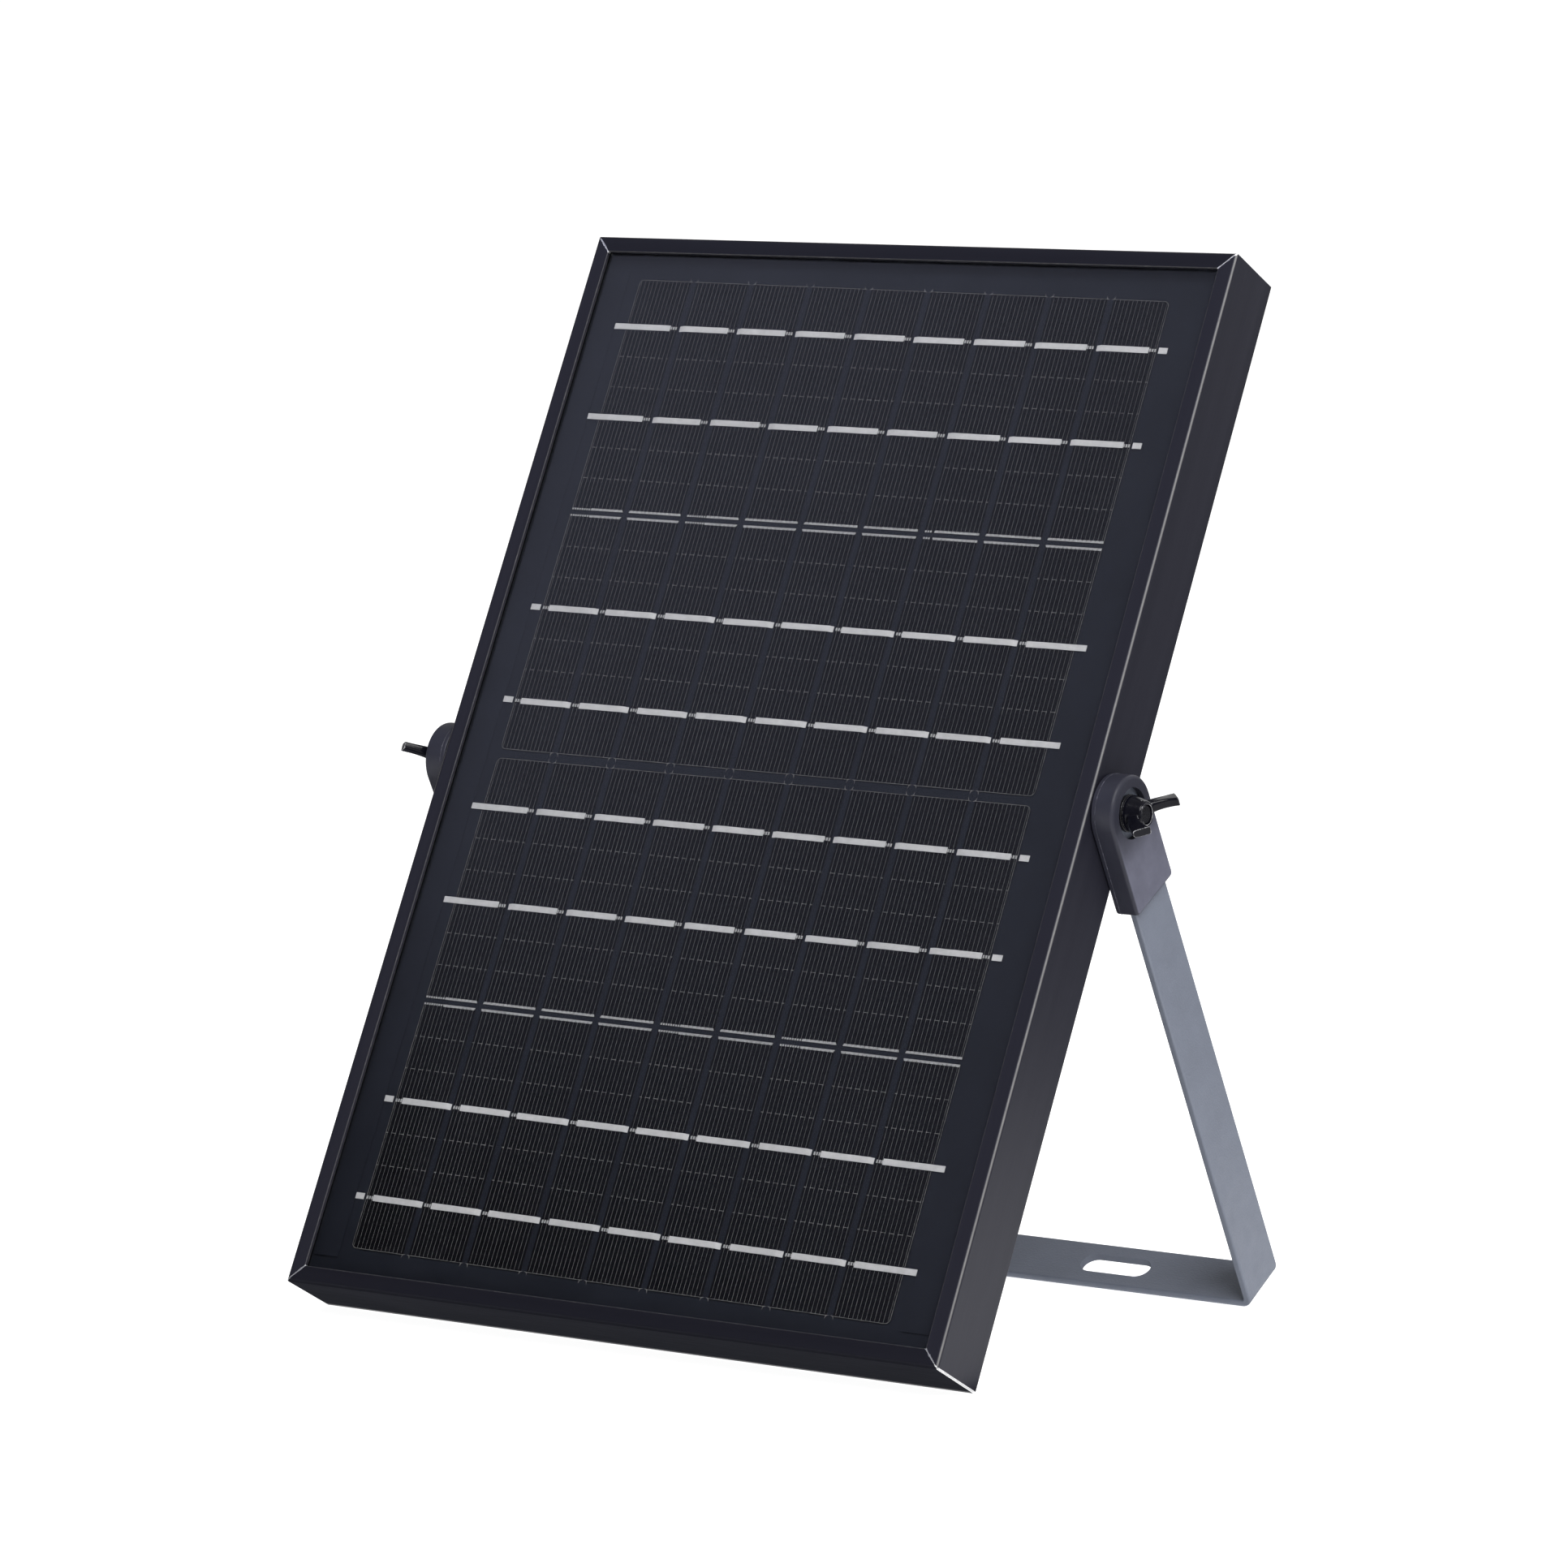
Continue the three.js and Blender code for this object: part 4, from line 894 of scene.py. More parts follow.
def build_print(row):
    """Fine silver lines: fingers along the cells, short dashes that link pairs of them, and edge lines."""
    fine = []
    outlines = []
    margin = (CELL_WIDTH - (FINGERS - 1) * FINGER_PITCH) / 2
    outer_end = row.high - row.low - EDGE_LINE_INSET
    for column in range(CELL_COLUMNS):
        for finger in range(FINGERS):
            x_range = row.span(column, *around(margin + finger * FINGER_PITCH, FINGER_WIDTH))
            end = outer_end - (OUTER_FINGER_CUT if finger in (0, FINGERS - 1) else 0)
            fine.append(flat_box(x_range, row.heights(FINGER_START, end), PRINT_FRONT, PRINT_REAR))
        for number in DASH_BUSBARS:
            height = HALF_BUSBAR_INSET + number * BUSBAR_PITCH
            for finger in range(0, FINGERS, 2):
                start = margin + finger * FINGER_PITCH
                end = start + (FINGER_PITCH if finger < FINGERS - 1 else LAST_DASH)
                spots = [(start, end, DASH_HEIGHT)]
                spots += [(*around(x, DASH_END), DASH_END) for x in (start, end)]
                for x0, x1, tall in spots:
                    z_range = row.heights(*around(height, tall))
                    fine.append(flat_box(row.span(column, x0, x1), z_range, DASH_FRONT, PRINT_REAR))
        outlines += edge_line(row, column)
    fingers = boxes("fingers", fine)
    lines = prisms("edge_lines", outlines, PRINT_FRONT, PRINT_REAR)
    printed = join_meshes(f"printed_fingers_{row.number}", [fingers, lines])
    finish_piece(lay_askew(printed), PANEL, "panel", "cells", silver_print)


def build_pads(row, ladder_shares):
    """Thick silver: the half busbar along the split edge, and the busbar's pads that no ribbon covers."""
    pads = []

    def add_pad(x_range, z_range, front=PAD_FRONT):
        pads.append(flat_box(x_range, z_range, front, PRINT_REAR))

    for column, ladder in enumerate(ladder_shares):
        left, right = row.span(column, 0, CELL_WIDTH)
        ladder_length = CELL_WIDTH * ladder
        solid_end = right - PAD_MARGIN
        x = left + ladder_length
        add_pad((x, solid_end), row.heights(HALF_BUSBAR_START, HALF_BUSBAR_HEIGHT / 2))
        while x < right - 1:
            x_range = (x + NOTCH_WIDTH, min(x + FINGER_PITCH, solid_end))
            add_pad(x_range, row.heights(2 * HALF_BUSBAR_START, HALF_BUSBAR_HEIGHT), NOTCHED_FRONT)
            x += FINGER_PITCH
        for step in range(int(ladder_length / PAD_PITCH)):
            x = left + LADDER_MARGIN + step * PAD_PITCH
            add_pad((x, x + PAD_WIDTH), row.heights(HALF_BUSBAR_START, LADDER_HEIGHT))
        for number in RIBBON_BUSBARS:
            for step in range(round(CELL_WIDTH / PAD_PITCH)):
                x = PAD_MARGIN + step * PAD_PITCH
                add_pad(row.span(column, x, x + PAD_WIDTH), around(row.busbar(number), PAD_HEIGHT))
    silver = boxes(f"busbar_pads_{row.number}", pads)
    finish_piece(lay_askew(silver), PANEL, "panel", "cells", silver_pads)


def ribbon(x0, x1, height, dip=0):
    """A tinned ribbon with soft edges, soldered a little unevenly; its x0 end may dip behind a neighbour."""
    steps = max(2, round(abs(x1 - x0) / 2))
    half = RIBBON_WIDTH / 2
    section = filleted([(-half, 0, RIBBON_EDGE), (half, 0, RIBBON_EDGE), (half, 1, 0), (-half, 1, 0)], 3)
    places = [x0 + (x1 - x0) * step / steps for step in range(steps + 1)]
    depths = [RIBBON_FRONT + dice.uniform(-RIBBON_WAVE, RIBBON_WAVE) for _ in places]
    if dip:
        direction = math.copysign(1, x1 - x0)
        places = [x0, x0 + 0.6 * dip * direction, x0 + dip * direction] + places[2:]
        depths = [RIBBON_BEHIND, RIBBON_BEHIND - 0.1, RIBBON_FRONT] + depths[2:]
    vertices = []
    for x, depth in zip(places, depths):
        sway = dice.uniform(-RIBBON_SWAY, RIBBON_SWAY)
        for across, share in section:
            vertices.append((x, FRONT + depth + share * RIBBON_THICKNESS, height + across + sway))
    count = len(section)
    return mesh_object("ribbon", vertices, end_faces(count, len(vertices)) + skin(count, len(places)))


def build_ribbons(row):
    """Ribbons bridge from each cell's far end across the gap to the next, with a stub at the last."""
    def off_line(number):
        return row.busbar(number) + dice.uniform(-RIBBON_OFF_LINE, RIBBON_OFF_LINE)

    parts = []
    order = range(CELL_COLUMNS) if row.direction > 0 else range(CELL_COLUMNS - 1, -1, -1)
    for number in RIBBON_BUSBARS:
        for place, column in enumerate(order):
            lead = RIBBON_LEAD if place else RIBBON_END
            near = row.span(column, -lead, 0)
            uneven = dice.uniform(-RIBBON_UNEVEN_END, RIBBON_UNEVEN_END)
            far = row.span(column, 0, CELL_WIDTH * RIBBON_SHARE + uneven)
            height = off_line(number)
            x0, x1 = (near[0], far[1]) if row.direction > 0 else (near[1], far[0])
            parts.append(ribbon(x0, x1, height, RIBBON_LEAD if place else 0))
        x0, x1 = row.span(order[-1], CELL_WIDTH + STUB_START, CELL_WIDTH + STUB_END)
        parts.append(ribbon(x0, x1, off_line(number)))
    ribbons = join_meshes(f"tabbing_ribbons_{row.number}", parts)
    finish_piece(lay_askew(ribbons), PANEL, "panel", "ribbon", tinned_copper)


def lay_askew(piece):
    """The strings were laid a little askew: each row falls towards the right, and columns lean slightly."""
    for vertex in piece.data.vertices:
        x, z = vertex.co.x, vertex.co.z
        vertex.co.z = z + ROW_SLOPE * (x - CELL_BLOCK_X * MM)
        vertex.co.x = x + COLUMN_SLOPE * z
    return piece


def build_laminate():
    keep("edge_seal", sealant, 0.2)
    keep("front_glass", glass, 0.25)
    keep("front_encapsulant", encapsulant)
    keep("rear_encapsulant", encapsulant_black)
    keep("backsheet", backsheet_black, 0.03)
    for side in ("left", "right"):
        keep(f"masking_film_{side}", film_black)
    for name in ("bus_ribbon_upper_right", "bus_ribbon_middle_left", "bus_ribbon_lower_right",
                 "lead_ribbon_positive", "lead_ribbon_negative"):
        keep(name, tinned_copper, 0.03)
    for upper, lower in (ROWS[:2], ROWS[2:]):
        shares = [dice.choice(LADDER_SHARES) for _ in range(CELL_COLUMNS)]
        shares[0] = LADDER_SHARES[-1]
        for row in (upper, lower):
            build_wafers(row)
            build_print(row)
            build_pads(row, shares)
            build_ribbons(row)


# ---------------------------------------------------------------- junction box

BOX_LOW, BOX_HIGH = node_box("junction_box_lid", PANEL)
BOX_WIDTH = BOX_HIGH.x - BOX_LOW.x
BOX_HEIGHT = BOX_HIGH.z - BOX_LOW.z
BOX_UP = (BOX_HIGH.z + BOX_LOW.z) / 2
BOX_FRONT = 6.9
BOX_REAR = 20.6
BOX_WALL = 1.8
BOX_ROUNDING = 0.5
BOX_PAD_FRONT = 5.75
BOX_PAD_BORDER = 10
GASKET_GAP = 0.1
LID_FRONT = 21.9
LID_REAR = 24.2
LID_ROUNDING = 0.7
LID_RECESS = 0.5
BOX_CORNER = 3.2
BOSS_RADIUS = 3.4
BOSS_X = BOX_WIDTH / 2 - BOSS_RADIUS - 0.6
BOSS_Z = BOX_HEIGHT / 2 - BOSS_RADIUS - 0.6
SCREW_HEAD_RADIUS = 2.6
SCREW_HEAD_HEIGHT = 1.4
SCREW_CREST = 1.3
SCREW_ROOT = 1.0
SCREW_THREADS = 9
CROSS_LENGTH = 1.5
CROSS_WIDTH = 0.32
CROSS_DEPTH = 0.75
WINDOW_WIDTH = 34
WINDOW_HEIGHT = 6
STUB_RADIUS = 5.2
STUB_LENGTH = 9
STUB_THREADS = 7
STUB_THREAD_DEPTH = 0.45
GLAND_BORE = 3.2
GLAND_SEAT = 4.2
GLAND_DEPTH = (BOX_FRONT + BOX_REAR) / 2
NUT_START = 2
NUT_END = 15
NUT_FLATS = 13.4
NUT_WIDEST = 1.11
RIB_COUNT = 18

# Gland pieces are turned about X and then stood on end: x becomes the distance below the box's wall.
GLAND_FOOT = Matrix.Translation((0, FRONT + GLAND_DEPTH, BOX_UP - BOX_HEIGHT / 2))
GLAND = GLAND_FOOT @ Matrix.Rotation(math.pi / 2, 4, "Y")
SCREW_TURN = Matrix.Rotation(math.pi / 2, 4, "Z")


def box_outline(inset=0.0):
    loop = rounded_rectangle(BOX_WIDTH, BOX_HEIGHT, BOX_CORNER, (0, BOX_UP))
    return inset_loop(loop, inset) if inset else loop


def hole_loop(loop):
    return list(reversed(loop))


def build_junction_box():
    build_box_base()
    build_box_lid()
    gasket = plate("box_gasket", [box_outline(0.15), hole_loop(box_outline(BOX_WALL))],
                   rounded_sides(BOX_REAR + GASKET_GAP, LID_FRONT - GASKET_GAP, 0.3), face_on)
    finish_piece(gasket, PANEL, "panel", "box_rubber", black_rubber, replaces=["junction_box_gasket"])
    pad = plate("box_adhesive_pad", [box_outline(1), hole_loop(box_outline(BOX_PAD_BORDER))],
                rounded_sides(BOX_PAD_FRONT, BOX_FRONT - 0.1, 0.3), face_on)
    finish_piece(pad, PANEL, "panel", "seal", sealant, replaces=["junction_box_pad"])
    build_lid_screws()
    build_gland()
    for pole in ("positive", "negative"):
        keep(f"terminal_{pole}", brass, 0.3)
        keep(f"terminal_screw_{pole}", bright_zinc, 0.2)
    keep("bypass_diode", black_epoxy, 0.2)


def build_box_base():
    """A tray with a window in its floor for the lead ribbons, and a threaded stub for the gland."""
    sides = rounded_sides(BOX_FRONT, BOX_REAR, BOX_ROUNDING)
    base = plate("junction_box_tray", [box_outline()], sides, face_on)
    inside = rounded_sides(BOX_FRONT + BOX_WALL, BOX_REAR + 4, 0.6)
    combine(base, plate("hollow", [box_outline(BOX_WALL)], inside, face_on))
    thread = [(-1.0, STUB_RADIUS)]
    for turn in range(STUB_THREADS):
        start = 1.6 + turn
        thread += [(start, STUB_RADIUS - STUB_THREAD_DEPTH), (start + 0.5, STUB_RADIUS)]
    thread += [(STUB_LENGTH - 0.3, STUB_RADIUS), (STUB_LENGTH, STUB_RADIUS - 0.4)]
    combine(base, moved(turned("stub", thread), GLAND), "UNION")
    cut_round(base, GLAND_BORE, -3.5, STUB_LENGTH + 1, GLAND)
    cut_round(base, GLAND_SEAT, STUB_LENGTH - 3, STUB_LENGTH + 1, GLAND)
    window = rounded_rectangle(WINDOW_WIDTH, WINDOW_HEIGHT, 1, (0, BOX_UP), 3)
    combine(base, plate("window", [window], [(BOX_FRONT - 1, 0), (BOX_FRONT + 3, 0)], face_on))
    finish_piece(base, PANEL, "panel", "box_plastic", box_plastic, replaces=["junction_box_base"])


def build_box_lid():
    """A lid with a shallow panel sunk in it and a seat for each screw."""
    sides = rounded_sides(LID_FRONT, LID_REAR, LID_ROUNDING, 5)
    lid = plate("junction_box_cover", [box_outline()], sides, face_on)
    sunk = rounded_rectangle(BOX_WIDTH - 20, BOX_HEIGHT - 11, 2.2, (0, BOX_UP))
    stations = [(LID_REAR - LID_RECESS, LID_RECESS), (LID_REAR, 0), (LID_REAR + 2, 0)]
    combine(lid, plate("recess", [sunk], stations, face_on))
    for x in (-BOSS_X, BOSS_X):
        for z in (BOX_UP - BOSS_Z, BOX_UP + BOSS_Z):
            place = Matrix.Translation((x, FRONT, z)) @ SCREW_TURN
            cut_round(lid, SCREW_HEAD_RADIUS + 0.3, LID_REAR - SCREW_HEAD_HEIGHT, LID_REAR + 2, place, 32)
            cut_round(lid, SCREW_CREST + 0.3, LID_FRONT - 1, LID_REAR, place, 24)
    finish_piece(lid, PANEL, "panel", "box_plastic", box_plastic, replaces=["junction_box_lid"], bevel=0.12)


def build_lid_screws():
    """Pan-head screws with a cross recess."""
    seat = LID_REAR - SCREW_HEAD_HEIGHT + 0.3
    top = LID_REAR + 0.3
    stations = [(LID_FRONT - 8, 0.5), (LID_FRONT - 7.2, 1.2)]
    for turn in range(SCREW_THREADS):
        stations += [(LID_FRONT - 7 + 0.8 * turn, SCREW_CREST), (LID_FRONT - 6.6 + 0.8 * turn, SCREW_ROOT)]
    stations += [(seat, SCREW_CREST), (seat, SCREW_HEAD_RADIUS - 0.1), (seat + 0.3, SCREW_HEAD_RADIUS),
                 (top - 0.5, SCREW_HEAD_RADIUS - 0.1), (top - 0.15, SCREW_HEAD_RADIUS - 0.6), (top, 0.9)]
    cross = ((top - CROSS_DEPTH, -CROSS_LENGTH, -CROSS_WIDTH), (top + 1, CROSS_LENGTH, CROSS_WIDTH))
    for name, x, z in (("top_left", -BOSS_X, BOSS_Z), ("top_right", BOSS_X, BOSS_Z),
                       ("bottom_left", -BOSS_X, -BOSS_Z), ("bottom_right", BOSS_X, -BOSS_Z)):
        screw = turned(f"cover_screw_{name}", stations, 40)
        turn = dice.uniform(0, math.pi)
        for quarter in (0, math.pi / 2):
            combine(screw, moved(boxes("slot", [cross]), Matrix.Rotation(turn + quarter, 4, "X")))
        moved(screw, Matrix.Translation((x, FRONT, BOX_UP + z)) @ SCREW_TURN)
        finish_piece(screw, PANEL, "panel", "zinc_steel", bright_zinc, replaces=[f"lid_screw_{name}"],
                     bevel=0.06)


def build_gland():
    """A ribbed, domed gland nut over a rubber bush."""
    def ribbed(radius, height):
        return lambda angle: radius + height * max(0.0, math.cos(RIB_COUNT * angle)) ** 3

    grip = hexagon(NUT_FLATS, NUT_FLATS / 2 * NUT_WIDEST)
    stations = [
        (NUT_START, STUB_RADIUS + 0.3), (NUT_START, 6.4), (NUT_START + 0.5, grip), (8.6, grip), (9.3, 6.5),
        (9.8, 6.3), (10.2, ribbed(6.0, 0.3)), (13.0, ribbed(5.3, 0.25)), (14.4, 5.0), (NUT_END, 4.5),
        (NUT_END, GLAND_BORE + 0.3), (NUT_END - 0.4, GLAND_BORE), (12, GLAND_BORE), (11.6, STUB_RADIUS + 0.3),
    ]
    nut = moved(turned("gland_dome_nut", stations, 72, closed=True), GLAND)
    finish_piece(nut, PANEL, "panel", "box_plastic", box_plastic, replaces=["gland_nut"], bevel=0.12)
    bush = ring("gland_rubber_bush", GLAND_BORE, GLAND_SEAT - 0.3, STUB_LENGTH - 2.7, STUB_LENGTH + 2.2, 0.3)
    finish_piece(moved(bush, GLAND), PANEL, "panel", "box_rubber", black_rubber, replaces=["gland_bush"])


# ---------------------------------------------------------------- stand

BAR_WIDTH = 20
BAR_THICKNESS = 2.5
BAR_ROUNDING = 0.7
LEG_OUTER_X = node_box("stand_bracket", STAND)[1].x
LEG_LENGTH = -node_box("stand_bracket", STAND)[0].z
BEND_RADIUS = 3.5
BEND_STEPS = 10
ARC_STEPS = 32
LEG_CUT_SPREAD = 1.1
SLOT_LENGTH = 26
SLOT_WIDTH = 9
SLOT_CENTRE_X = 75


def bar_path():
    """The bar's outer face seen from the front: (x, z, inward x, inward z) down one leg, along, and up."""
    corner = LEG_OUTER_X - BEND_RADIUS
    height = -LEG_LENGTH + BEND_RADIUS
    path = [(-LEG_OUTER_X, BAR_WIDTH / 2, 1, 0), (-LEG_OUTER_X, 0, 1, 0)]
    for centre, start in ((-corner, math.pi), (corner, 1.5 * math.pi)):
        for step in range(BEND_STEPS + 1):
            angle = start + math.pi / 2 * step / BEND_STEPS
            c, s = math.cos(angle), math.sin(angle)
            path.append((centre + BEND_RADIUS * c, height + BEND_RADIUS * s, -c, -s))
    path += [(LEG_OUTER_X, 0, -1, 0), (LEG_OUTER_X, BAR_WIDTH / 2, -1, 0)]
    return path


def leg_end_outline(radius, length, corner):
    """Half a circle about the pivot, then straight down the leg; drawn u rearwards, v up."""
    angles = [math.pi * step / ARC_STEPS for step in range(ARC_STEPS + 1)]
    arc = [Vector((radius * math.cos(angle), radius * math.sin(angle))) for angle in angles]
    foot = filleted([(-radius, 0, 0), (-radius, -length, corner), (radius, -length, corner), (radius, 0, 0)])
    return arc + foot[1:-1]


def build_bracket():
    """The bar's section swept along its bent path, with round tops, pivot holes and oblong slots."""
    half = BAR_WIDTH / 2
    section = filleted([(0, -half, BAR_ROUNDING), (BAR_THICKNESS, -half, BAR_ROUNDING),
                        (BAR_THICKNESS, half, BAR_ROUNDING), (0, half, BAR_ROUNDING)], 4)
    path = bar_path()
    count = len(section)
    vertices = [
        (x + inward_x * deep, across, z + inward_z * deep)
        for x, z, inward_x, inward_z in path
        for deep, across in section
    ]
    faces = skin(count, len(path)) + end_faces(count, len(vertices))
    bracket = mesh_object("stand_u_bar", vertices, faces)
    round_tops = leg_end_outline(half, LEG_LENGTH + 10, 0)
    wide_below = [
        Vector((point.x * (1 if point.y >= 0 else LEG_CUT_SPREAD), point.y))
        for point in round_tops
    ]
    reach = LEG_OUTER_X + 5
    combine(bracket, plate("ends", [wide_below], [(-reach, 0), (reach, 0)], side_on), "INTERSECT")
    cut_round(bracket, PIVOT_HOLE_RADIUS, -reach, reach, segments=48)
    for centre in (-SLOT_CENTRE_X, SLOT_CENTRE_X):
        loop = rounded_rectangle(SLOT_LENGTH, SLOT_WIDTH, SLOT_WIDTH / 2 - 0.001, (centre, 0), 14)
        through = [(-LEG_LENGTH - 3, 0), (-LEG_LENGTH + 6, 0)]
        combine(bracket, plate("slot", [loop], through, lambda u, v, w: (u, v, w)))
    finish_piece(bracket, STAND, "stand", "stand", powder_coat, replaces=["stand_bracket"],
                 bevel=0.45, bevel_angle=55)


# ---------------------------------------------------------------- end caps

CAP_INNER_X, CAP_OUTER_X = (node_box("end_cap_right", STAND)[end].x for end in (0, 1))
CAP_RADIUS = node_box("end_cap_right", STAND)[1].z
CAP_LENGTH = -node_box("end_cap_right", STAND)[0].z
CAP_ROUNDING = 1.3
CAP_FOOT_CORNER = 1.6
CAP_RECESS_RADIUS = 8.2
CAP_CLEARANCE = 0.3
PARTING_X = CAP_INNER_X + 1.6


def build_cap(side, turn):
    """A moulded sleeve with a parting line, a pocket for the leg's end and a recess for the nut."""
    rising = rounded_sides(CAP_INNER_X, CAP_OUTER_X, 0.6, 4)[:5]
    falling = rounded_sides(CAP_INNER_X, CAP_OUTER_X, CAP_ROUNDING, 6)[7:]
    parting = [(PARTING_X - 0.12, 0), (PARTING_X, -0.09), (PARTING_X + 0.12, 0.05), (PARTING_X + 0.3, 0)]
    outline = leg_end_outline(CAP_RADIUS - 0.1, CAP_LENGTH - 0.1, CAP_FOOT_CORNER)
    cap = plate(f"moulded_cap_{side}", [outline], rising + parting + falling, side_on)
    leg_end = leg_end_outline(BAR_WIDTH / 2 + CAP_CLEARANCE, CAP_LENGTH + 2, 0.1)
    pocket = [(LEG_OUTER_X - BAR_THICKNESS - CAP_CLEARANCE, 0), (LEG_OUTER_X + CAP_CLEARANCE, 0)]
    combine(cap, plate("pocket", [leg_end], pocket, side_on))
    cut_round(cap, CAP_RECESS_RADIUS, LEG_OUTER_X, CAP_OUTER_X + 3, segments=72)
    cut_round(cap, PIVOT_HOLE_RADIUS + CAP_CLEARANCE, CAP_INNER_X - 3, LEG_OUTER_X + 1, segments=72)
    moved(cap, Matrix.Rotation(turn, 4, "Z"))
    finish_piece(cap, STAND, "stand", "end_cap", cap_plastic, replaces=[f"end_cap_{side}"],
                 bevel=0.35, bevel_angle=60)


# ---------------------------------------------------------------- pivot hardware

BOLT_RADIUS = 3
BOLT_HEAD_FLATS = 10
BOLT_HEAD_CHAMFER = 5.3
BOLT_HEAD_HEIGHT = 4
BOLT_SHANK = 3
THREAD_START = 3.2
BOLT_HEAD_X = 122.3
BOLT_END_X = 138.3
THREAD_PITCH = 1.0
THREAD_DEPTH = 0.35
WASHER_X, WASHER_END_X = (node_box("wing_washer_right", STAND)[end].x for end in (0, 1))
NUT_BASE_X = node_box("wing_nut_right", STAND)[0].x
NUT_BASE_RADIUS = 5.8
NUT_TOP_RADIUS = 4.3
NUT_HEIGHT = 5.8
NUT_BORE_RADIUS = 3.2
WING_THICKNESS = 2.4
WING_ROUNDING = 0.7
WING_ROOT_SHARE = 1.9
WING_TAPER = 0.9
WING_OUTLINE = (
    (3.8, 1.4), (5.4, 1.4), (9, 3.3, 13.3, 8.2), (14.4, 9.3), (10.4, 13.5), (9.3, 12.4), (7.8, 7.6, 4.2, 5.2),
    (3.8, 5.2),
)
WING_TIP = Vector((10.3, 11.3))
WING_TIP_DIRECTION = Vector((0.69, 0.72))
CASTING_VOXEL = 0.14


def threaded(x, crest):
    """Radius of a helical thread at a station x, as a function of the angle."""
    def radius(angle):
        turn = (x / THREAD_PITCH - angle / (2 * math.pi)) % 1
        return crest - THREAD_DEPTH * (1 - abs(2 * turn - 1))
    return radius


def build_bolt(side, turn):
    """A chamfered hexagon head, a plain shank and a helical thread."""
    foot = BOLT_HEAD_X - BOLT_HEAD_HEIGHT
    flats = hexagon(BOLT_HEAD_FLATS)
    chamfered = hexagon(BOLT_HEAD_FLATS, BOLT_HEAD_CHAMFER)
    stations = [(foot, 0.35 * BOLT_HEAD_FLATS), (foot + 0.35, 4.6), (foot + 0.7, chamfered)]
    stations += [(foot + 1.0, flats), (BOLT_HEAD_X - 0.3, flats), (BOLT_HEAD_X, chamfered)]
    stations += [(BOLT_HEAD_X, BOLT_RADIUS), (BOLT_HEAD_X + BOLT_SHANK, BOLT_RADIUS)]
    x = BOLT_HEAD_X + THREAD_START
    while x < BOLT_END_X - 0.7:
        stations.append((x, threaded(x, BOLT_RADIUS)))
        x += THREAD_PITCH / 8
    stations += [(BOLT_END_X - 0.3, 2.95), (BOLT_END_X - 0.1, 2.85), (BOLT_END_X, 2.65)]
    bolt = turned(f"hex_bolt_{side}", stations, 72)
    moved(bolt, Matrix.Rotation(turn, 4, "Z"))
    finish_piece(bolt, PANEL, "panel", "black_steel", black_zinc, replaces=[f"pivot_bolt_{side}"], sharp=25)


def curved_outline(start, *steps):
    """Points along straight steps (u, v) and quadratic curves (u, v, end u, end v)."""
    points = [Vector(start)]
    for step in steps:
        if len(step) == 2:
            points.append(Vector(step))
            continue
        bend, end, begin = Vector(step[:2]), Vector(step[2:]), points[-1]
        for index in range(1, 9):
            t = index / 8
            points.append(begin * (1 - t) ** 2 + bend * 2 * t * (1 - t) + end * t ** 2)
    return points


def wing_angle(side):
    """The angle about X, from Y towards Z, that the nut's rear wing points along."""
    points = [vertex.co - PIVOT for vertex in frame["nodes"][f"wing_nut_{side}"].data.vertices]
    farthest = max(point.yz.length for point in points)
    tip = [point for point in points if point.yz.length > farthest - 0.1 * MM and point.y > 0]
    return math.atan2(sum(point.z for point in tip), sum(point.y for point in tip))


def build_wing_nut(side, turn):
    """Hub and wings melted into one casting, with soft roots and rims."""
    hub = turned("hub", [
        (0, NUT_BORE_RADIUS), (0, NUT_BASE_RADIUS), (1, NUT_BASE_RADIUS), (NUT_HEIGHT - 0.5, NUT_TOP_RADIUS),
        (NUT_HEIGHT, NUT_TOP_RADIUS - 0.5), (NUT_HEIGHT, NUT_BORE_RADIUS),
    ], 72, closed=True)
    outline = curved_outline(*WING_OUTLINE)
    half = WING_THICKNESS / 2
    parts = [hub]
    for direction in (1, -1):
        def wing_place(u, v, w, direction=direction):
            taper = WING_ROOT_SHARE - WING_TAPER * min(u / WING_TIP.y, 1)
            return (v, u * direction, w * direction * taper)

        wing = plate("wing", [outline], rounded_sides(-half, half, WING_ROUNDING, 4), wing_place)
        slice_off(wing, (WING_TIP.x, WING_TIP.y * direction, 0),
                  (WING_TIP_DIRECTION.x, WING_TIP_DIRECTION.y * direction, 0))
        parts.append(wing)
    nut = join_meshes(f"butterfly_nut_{side}", parts)
    melt = nut.modifiers.new("melt", "REMESH")
    melt.mode = "VOXEL"
    melt.voxel_size = CASTING_VOXEL * MM
    soften = nut.modifiers.new("soften", "SMOOTH")
    soften.factor = 0.5
    soften.iterations = 4
    apply_modifiers(nut)
    outwards = Matrix.Rotation(turn, 4, "Z") @ Matrix.Translation((NUT_BASE_X, 0, 0))
    moved(nut, Matrix.Rotation(wing_angle(side), 4, "X") @ outwards)
    finish_piece(nut, Matrix.Translation(PIVOT), f"{side}_wing_nut", "wing_nut", gloss_black,
                 replaces=[f"wing_nut_{side}"], sharp=70)


def build_hardware():
    for side, turn in (("right", 0), ("left", math.pi)):
        build_cap(side, turn)
        build_bolt(side, turn)
        build_wing_nut(side, turn)
        washer = ring(f"flat_washer_{side}", PIVOT_HOLE_RADIUS, 6, WASHER_X, WASHER_END_X, 0.2)
        moved(washer, Matrix.Rotation(turn, 4, "Z"))
        finish_piece(washer, Matrix.Translation(PIVOT), f"{side}_washer", "black_steel", black_zinc,
                     replaces=[f"wing_washer_{side}"])
        keep(f"lock_washer_{side}", bright_zinc, 0.1)


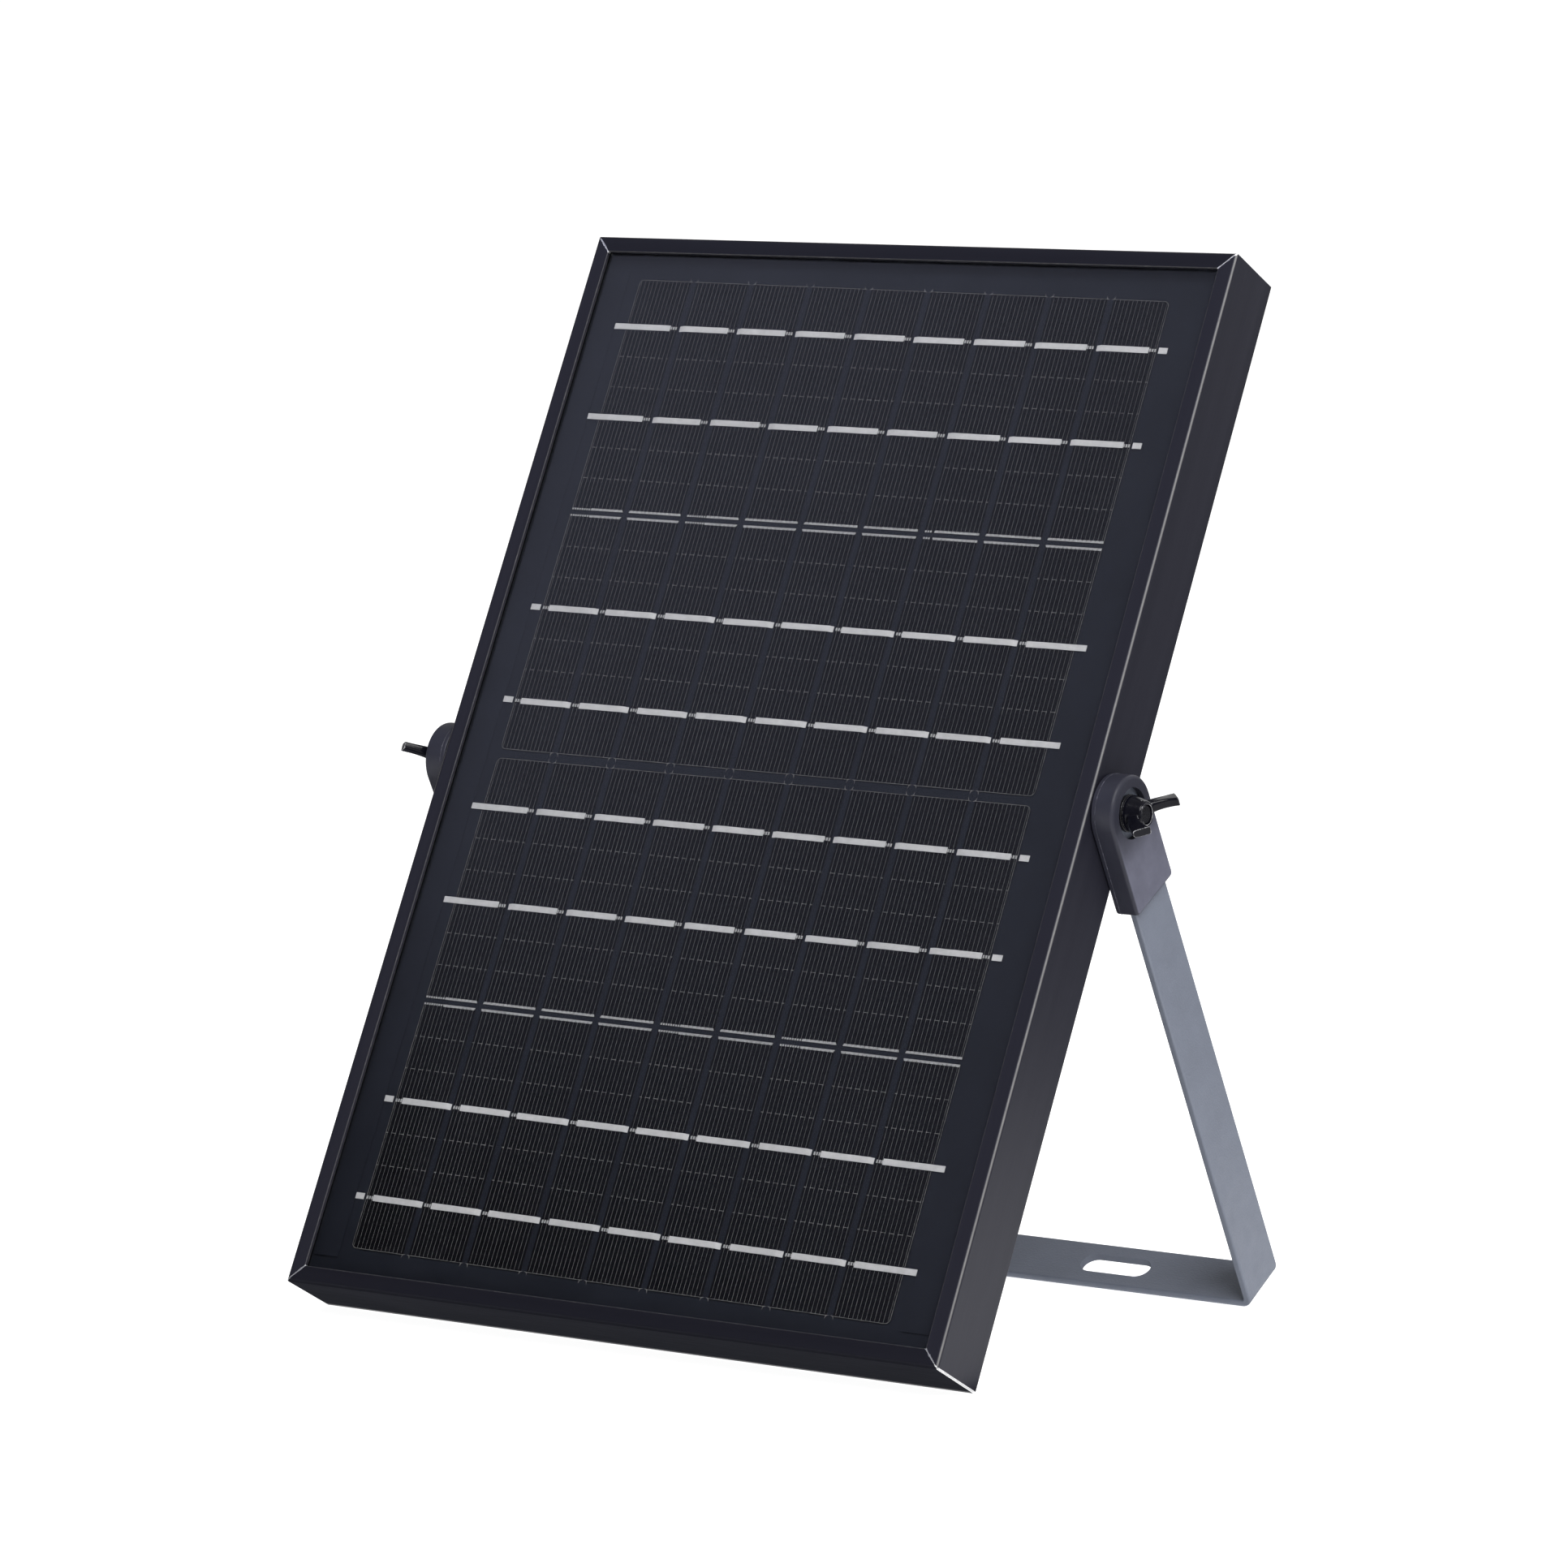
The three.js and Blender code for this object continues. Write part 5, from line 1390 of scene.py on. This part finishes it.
build_frame()
build_laminate()
build_junction_box()
build_bracket()
build_hardware()

# ---------------------------------------------------------------- floor and light

FLOOR_REACH = 12000
SHADE_REACH = 6000
STRIP_LEFT = 132
STRIP_RIGHT = 520
CARD_DIRECTION = Vector((-0.5565, -0.5516, 0.6213))
CARD_DISTANCE = 1.2
CARD_HALF = 700


def flat_sheet(name, height, *rectangles):
    """Level faces at one height, each given as x from, x to, y from and y to."""
    vertices = []
    for x0, x1, y0, y1 in rectangles:
        vertices += [(x0, y0, height), (x1, y0, height), (x1, y1, height), (x0, y1, height)]
    faces = [list(range(first, first + 4)) for first in range(0, len(vertices), 4)]
    return mesh_object(name, vertices, faces)


def stage_reflection(sheet, material):
    """A glowing sheet of the studio that only reflections see."""
    sheet.data.materials.append(material)
    for kind in ("camera", "diffuse", "shadow", "transmission"):
        setattr(sheet, f"visible_{kind}", False)


def glowing(name, strength, colour, up_ramp=None, right_share=1.0):
    """A glowing sheet; it may fade out downwards along Y (metres), and fall to a share at its right."""
    material, tree, shader = new_material(name)
    tree.nodes.remove(shader)
    level = strength
    if up_ramp is not None:
        x, y, _ = parts_of(tree, object_place(tree))
        upwards = spread(tree, y, 0, strength, *up_ramp)
        sideways = calculate(tree, "SUBTRACT", x, times(tree, y, 0.25))
        level = times(tree, upwards, spread(tree, sideways, 1, right_share, -0.20, 0.10))
    light = node(tree, "Emission", {"Color": colour, "Strength": level})
    tree.links.new(light.outputs[0], tree.nodes["Material Output"].inputs["Surface"])
    return material


def build_floor():
    floor = flat_sheet("floor", 0, (-FLOOR_REACH, FLOOR_REACH, -FLOOR_REACH, FLOOR_REACH))
    material, _, shader = new_material("pale_floor")
    shader.inputs["Base Color"].default_value = (0.5, 0.5, 0.5, 1)
    shader.inputs["Roughness"].default_value = 0.8
    shader.inputs["Specular IOR Level"].default_value = 0.1
    shader.inputs["Emission Color"].default_value = (1, 1, 1, 1)
    shader.inputs["Emission Strength"].default_value = 0.96
    floor.data.materials.append(material)


def build_floor_shade():
    """Keeps the bright floor out of reflections, but for a strip at the panel's right."""
    shade = flat_sheet(
        "floor_shade", 1,
        (-450, STRIP_LEFT, -160, 500),
        (-SHADE_REACH, STRIP_LEFT, 500, SHADE_REACH),
        (STRIP_RIGHT, SHADE_REACH, -1500, SHADE_REACH),
        (STRIP_LEFT, STRIP_RIGHT, 330, SHADE_REACH),
    )
    stage_reflection(shade, glowing("dim_floor", 0.09, (0.9, 0.95, 1.1, 1)))


def area_light(name, direction, distance, size, power):
    """A soft square light that looks at the panel's middle from a direction."""
    data = bpy.data.lights.new(name, "AREA")
    data.shape = "SQUARE"
    data.size = size
    data.energy = power
    lamp = link_new(name, data)
    toward = Vector(direction).normalized()
    lamp.location = PIVOT + toward * distance
    lamp.rotation_mode = "QUATERNION"
    lamp.rotation_quaternion = toward.to_track_quat("Z", "Y")


def build_card():
    """A dim graded reflector at the front left."""
    toward = CARD_DIRECTION.normalized()
    card = flat_sheet("graded_card", 0, (-CARD_HALF, CARD_HALF, -CARD_HALF, CARD_HALF))
    turn = toward.to_track_quat("Z", "Y").to_matrix().to_4x4()
    card.matrix_world = Matrix.Translation(PIVOT + toward * CARD_DISTANCE) @ turn
    stage_reflection(card, glowing("graded_light", 0.56, (0.92, 0.96, 1.30, 1), (-0.29, -0.12), 0.42))


def build_world():
    """White to the camera; to light and reflections, bright behind and right, dim at the front left."""
    world = bpy.data.worlds.new("studio")
    bpy.context.scene.world = world
    world.use_nodes = True
    tree = world.node_tree
    tree.nodes.clear()
    direction = node(tree, "TexCoord").outputs["Generated"]
    toward = Vector((0.75, 0.6, 0.25)).normalized()
    likeness = node(tree, "VectorMath", {0: direction, 1: toward}, operation="DOT_PRODUCT").outputs["Value"]
    level = spread(tree, likeness, 0.03, 0.6, -0.55, 0.75)
    seen = node(tree, "LightPath").outputs["Is Camera Ray"]
    strength = node(tree, "Mix", {0: seen, 2: level, 3: 1.05}, data_type="FLOAT").outputs[0]
    background = node(tree, "Background", {"Color": (1, 1, 1, 1), "Strength": strength})
    output = node(tree, "OutputWorld", {"Surface": background.outputs[0]})
    output.is_active_output = True


build_floor()
build_floor_shade()
build_world()
build_card()
area_light("key", (0.55, -0.42, 0.72), 2.4, 1.5, 64)
area_light("back", (-0.2, 0.75, 0.65), 2.6, 1.8, 12)

bpy.context.scene.view_settings.view_transform = "Standard"
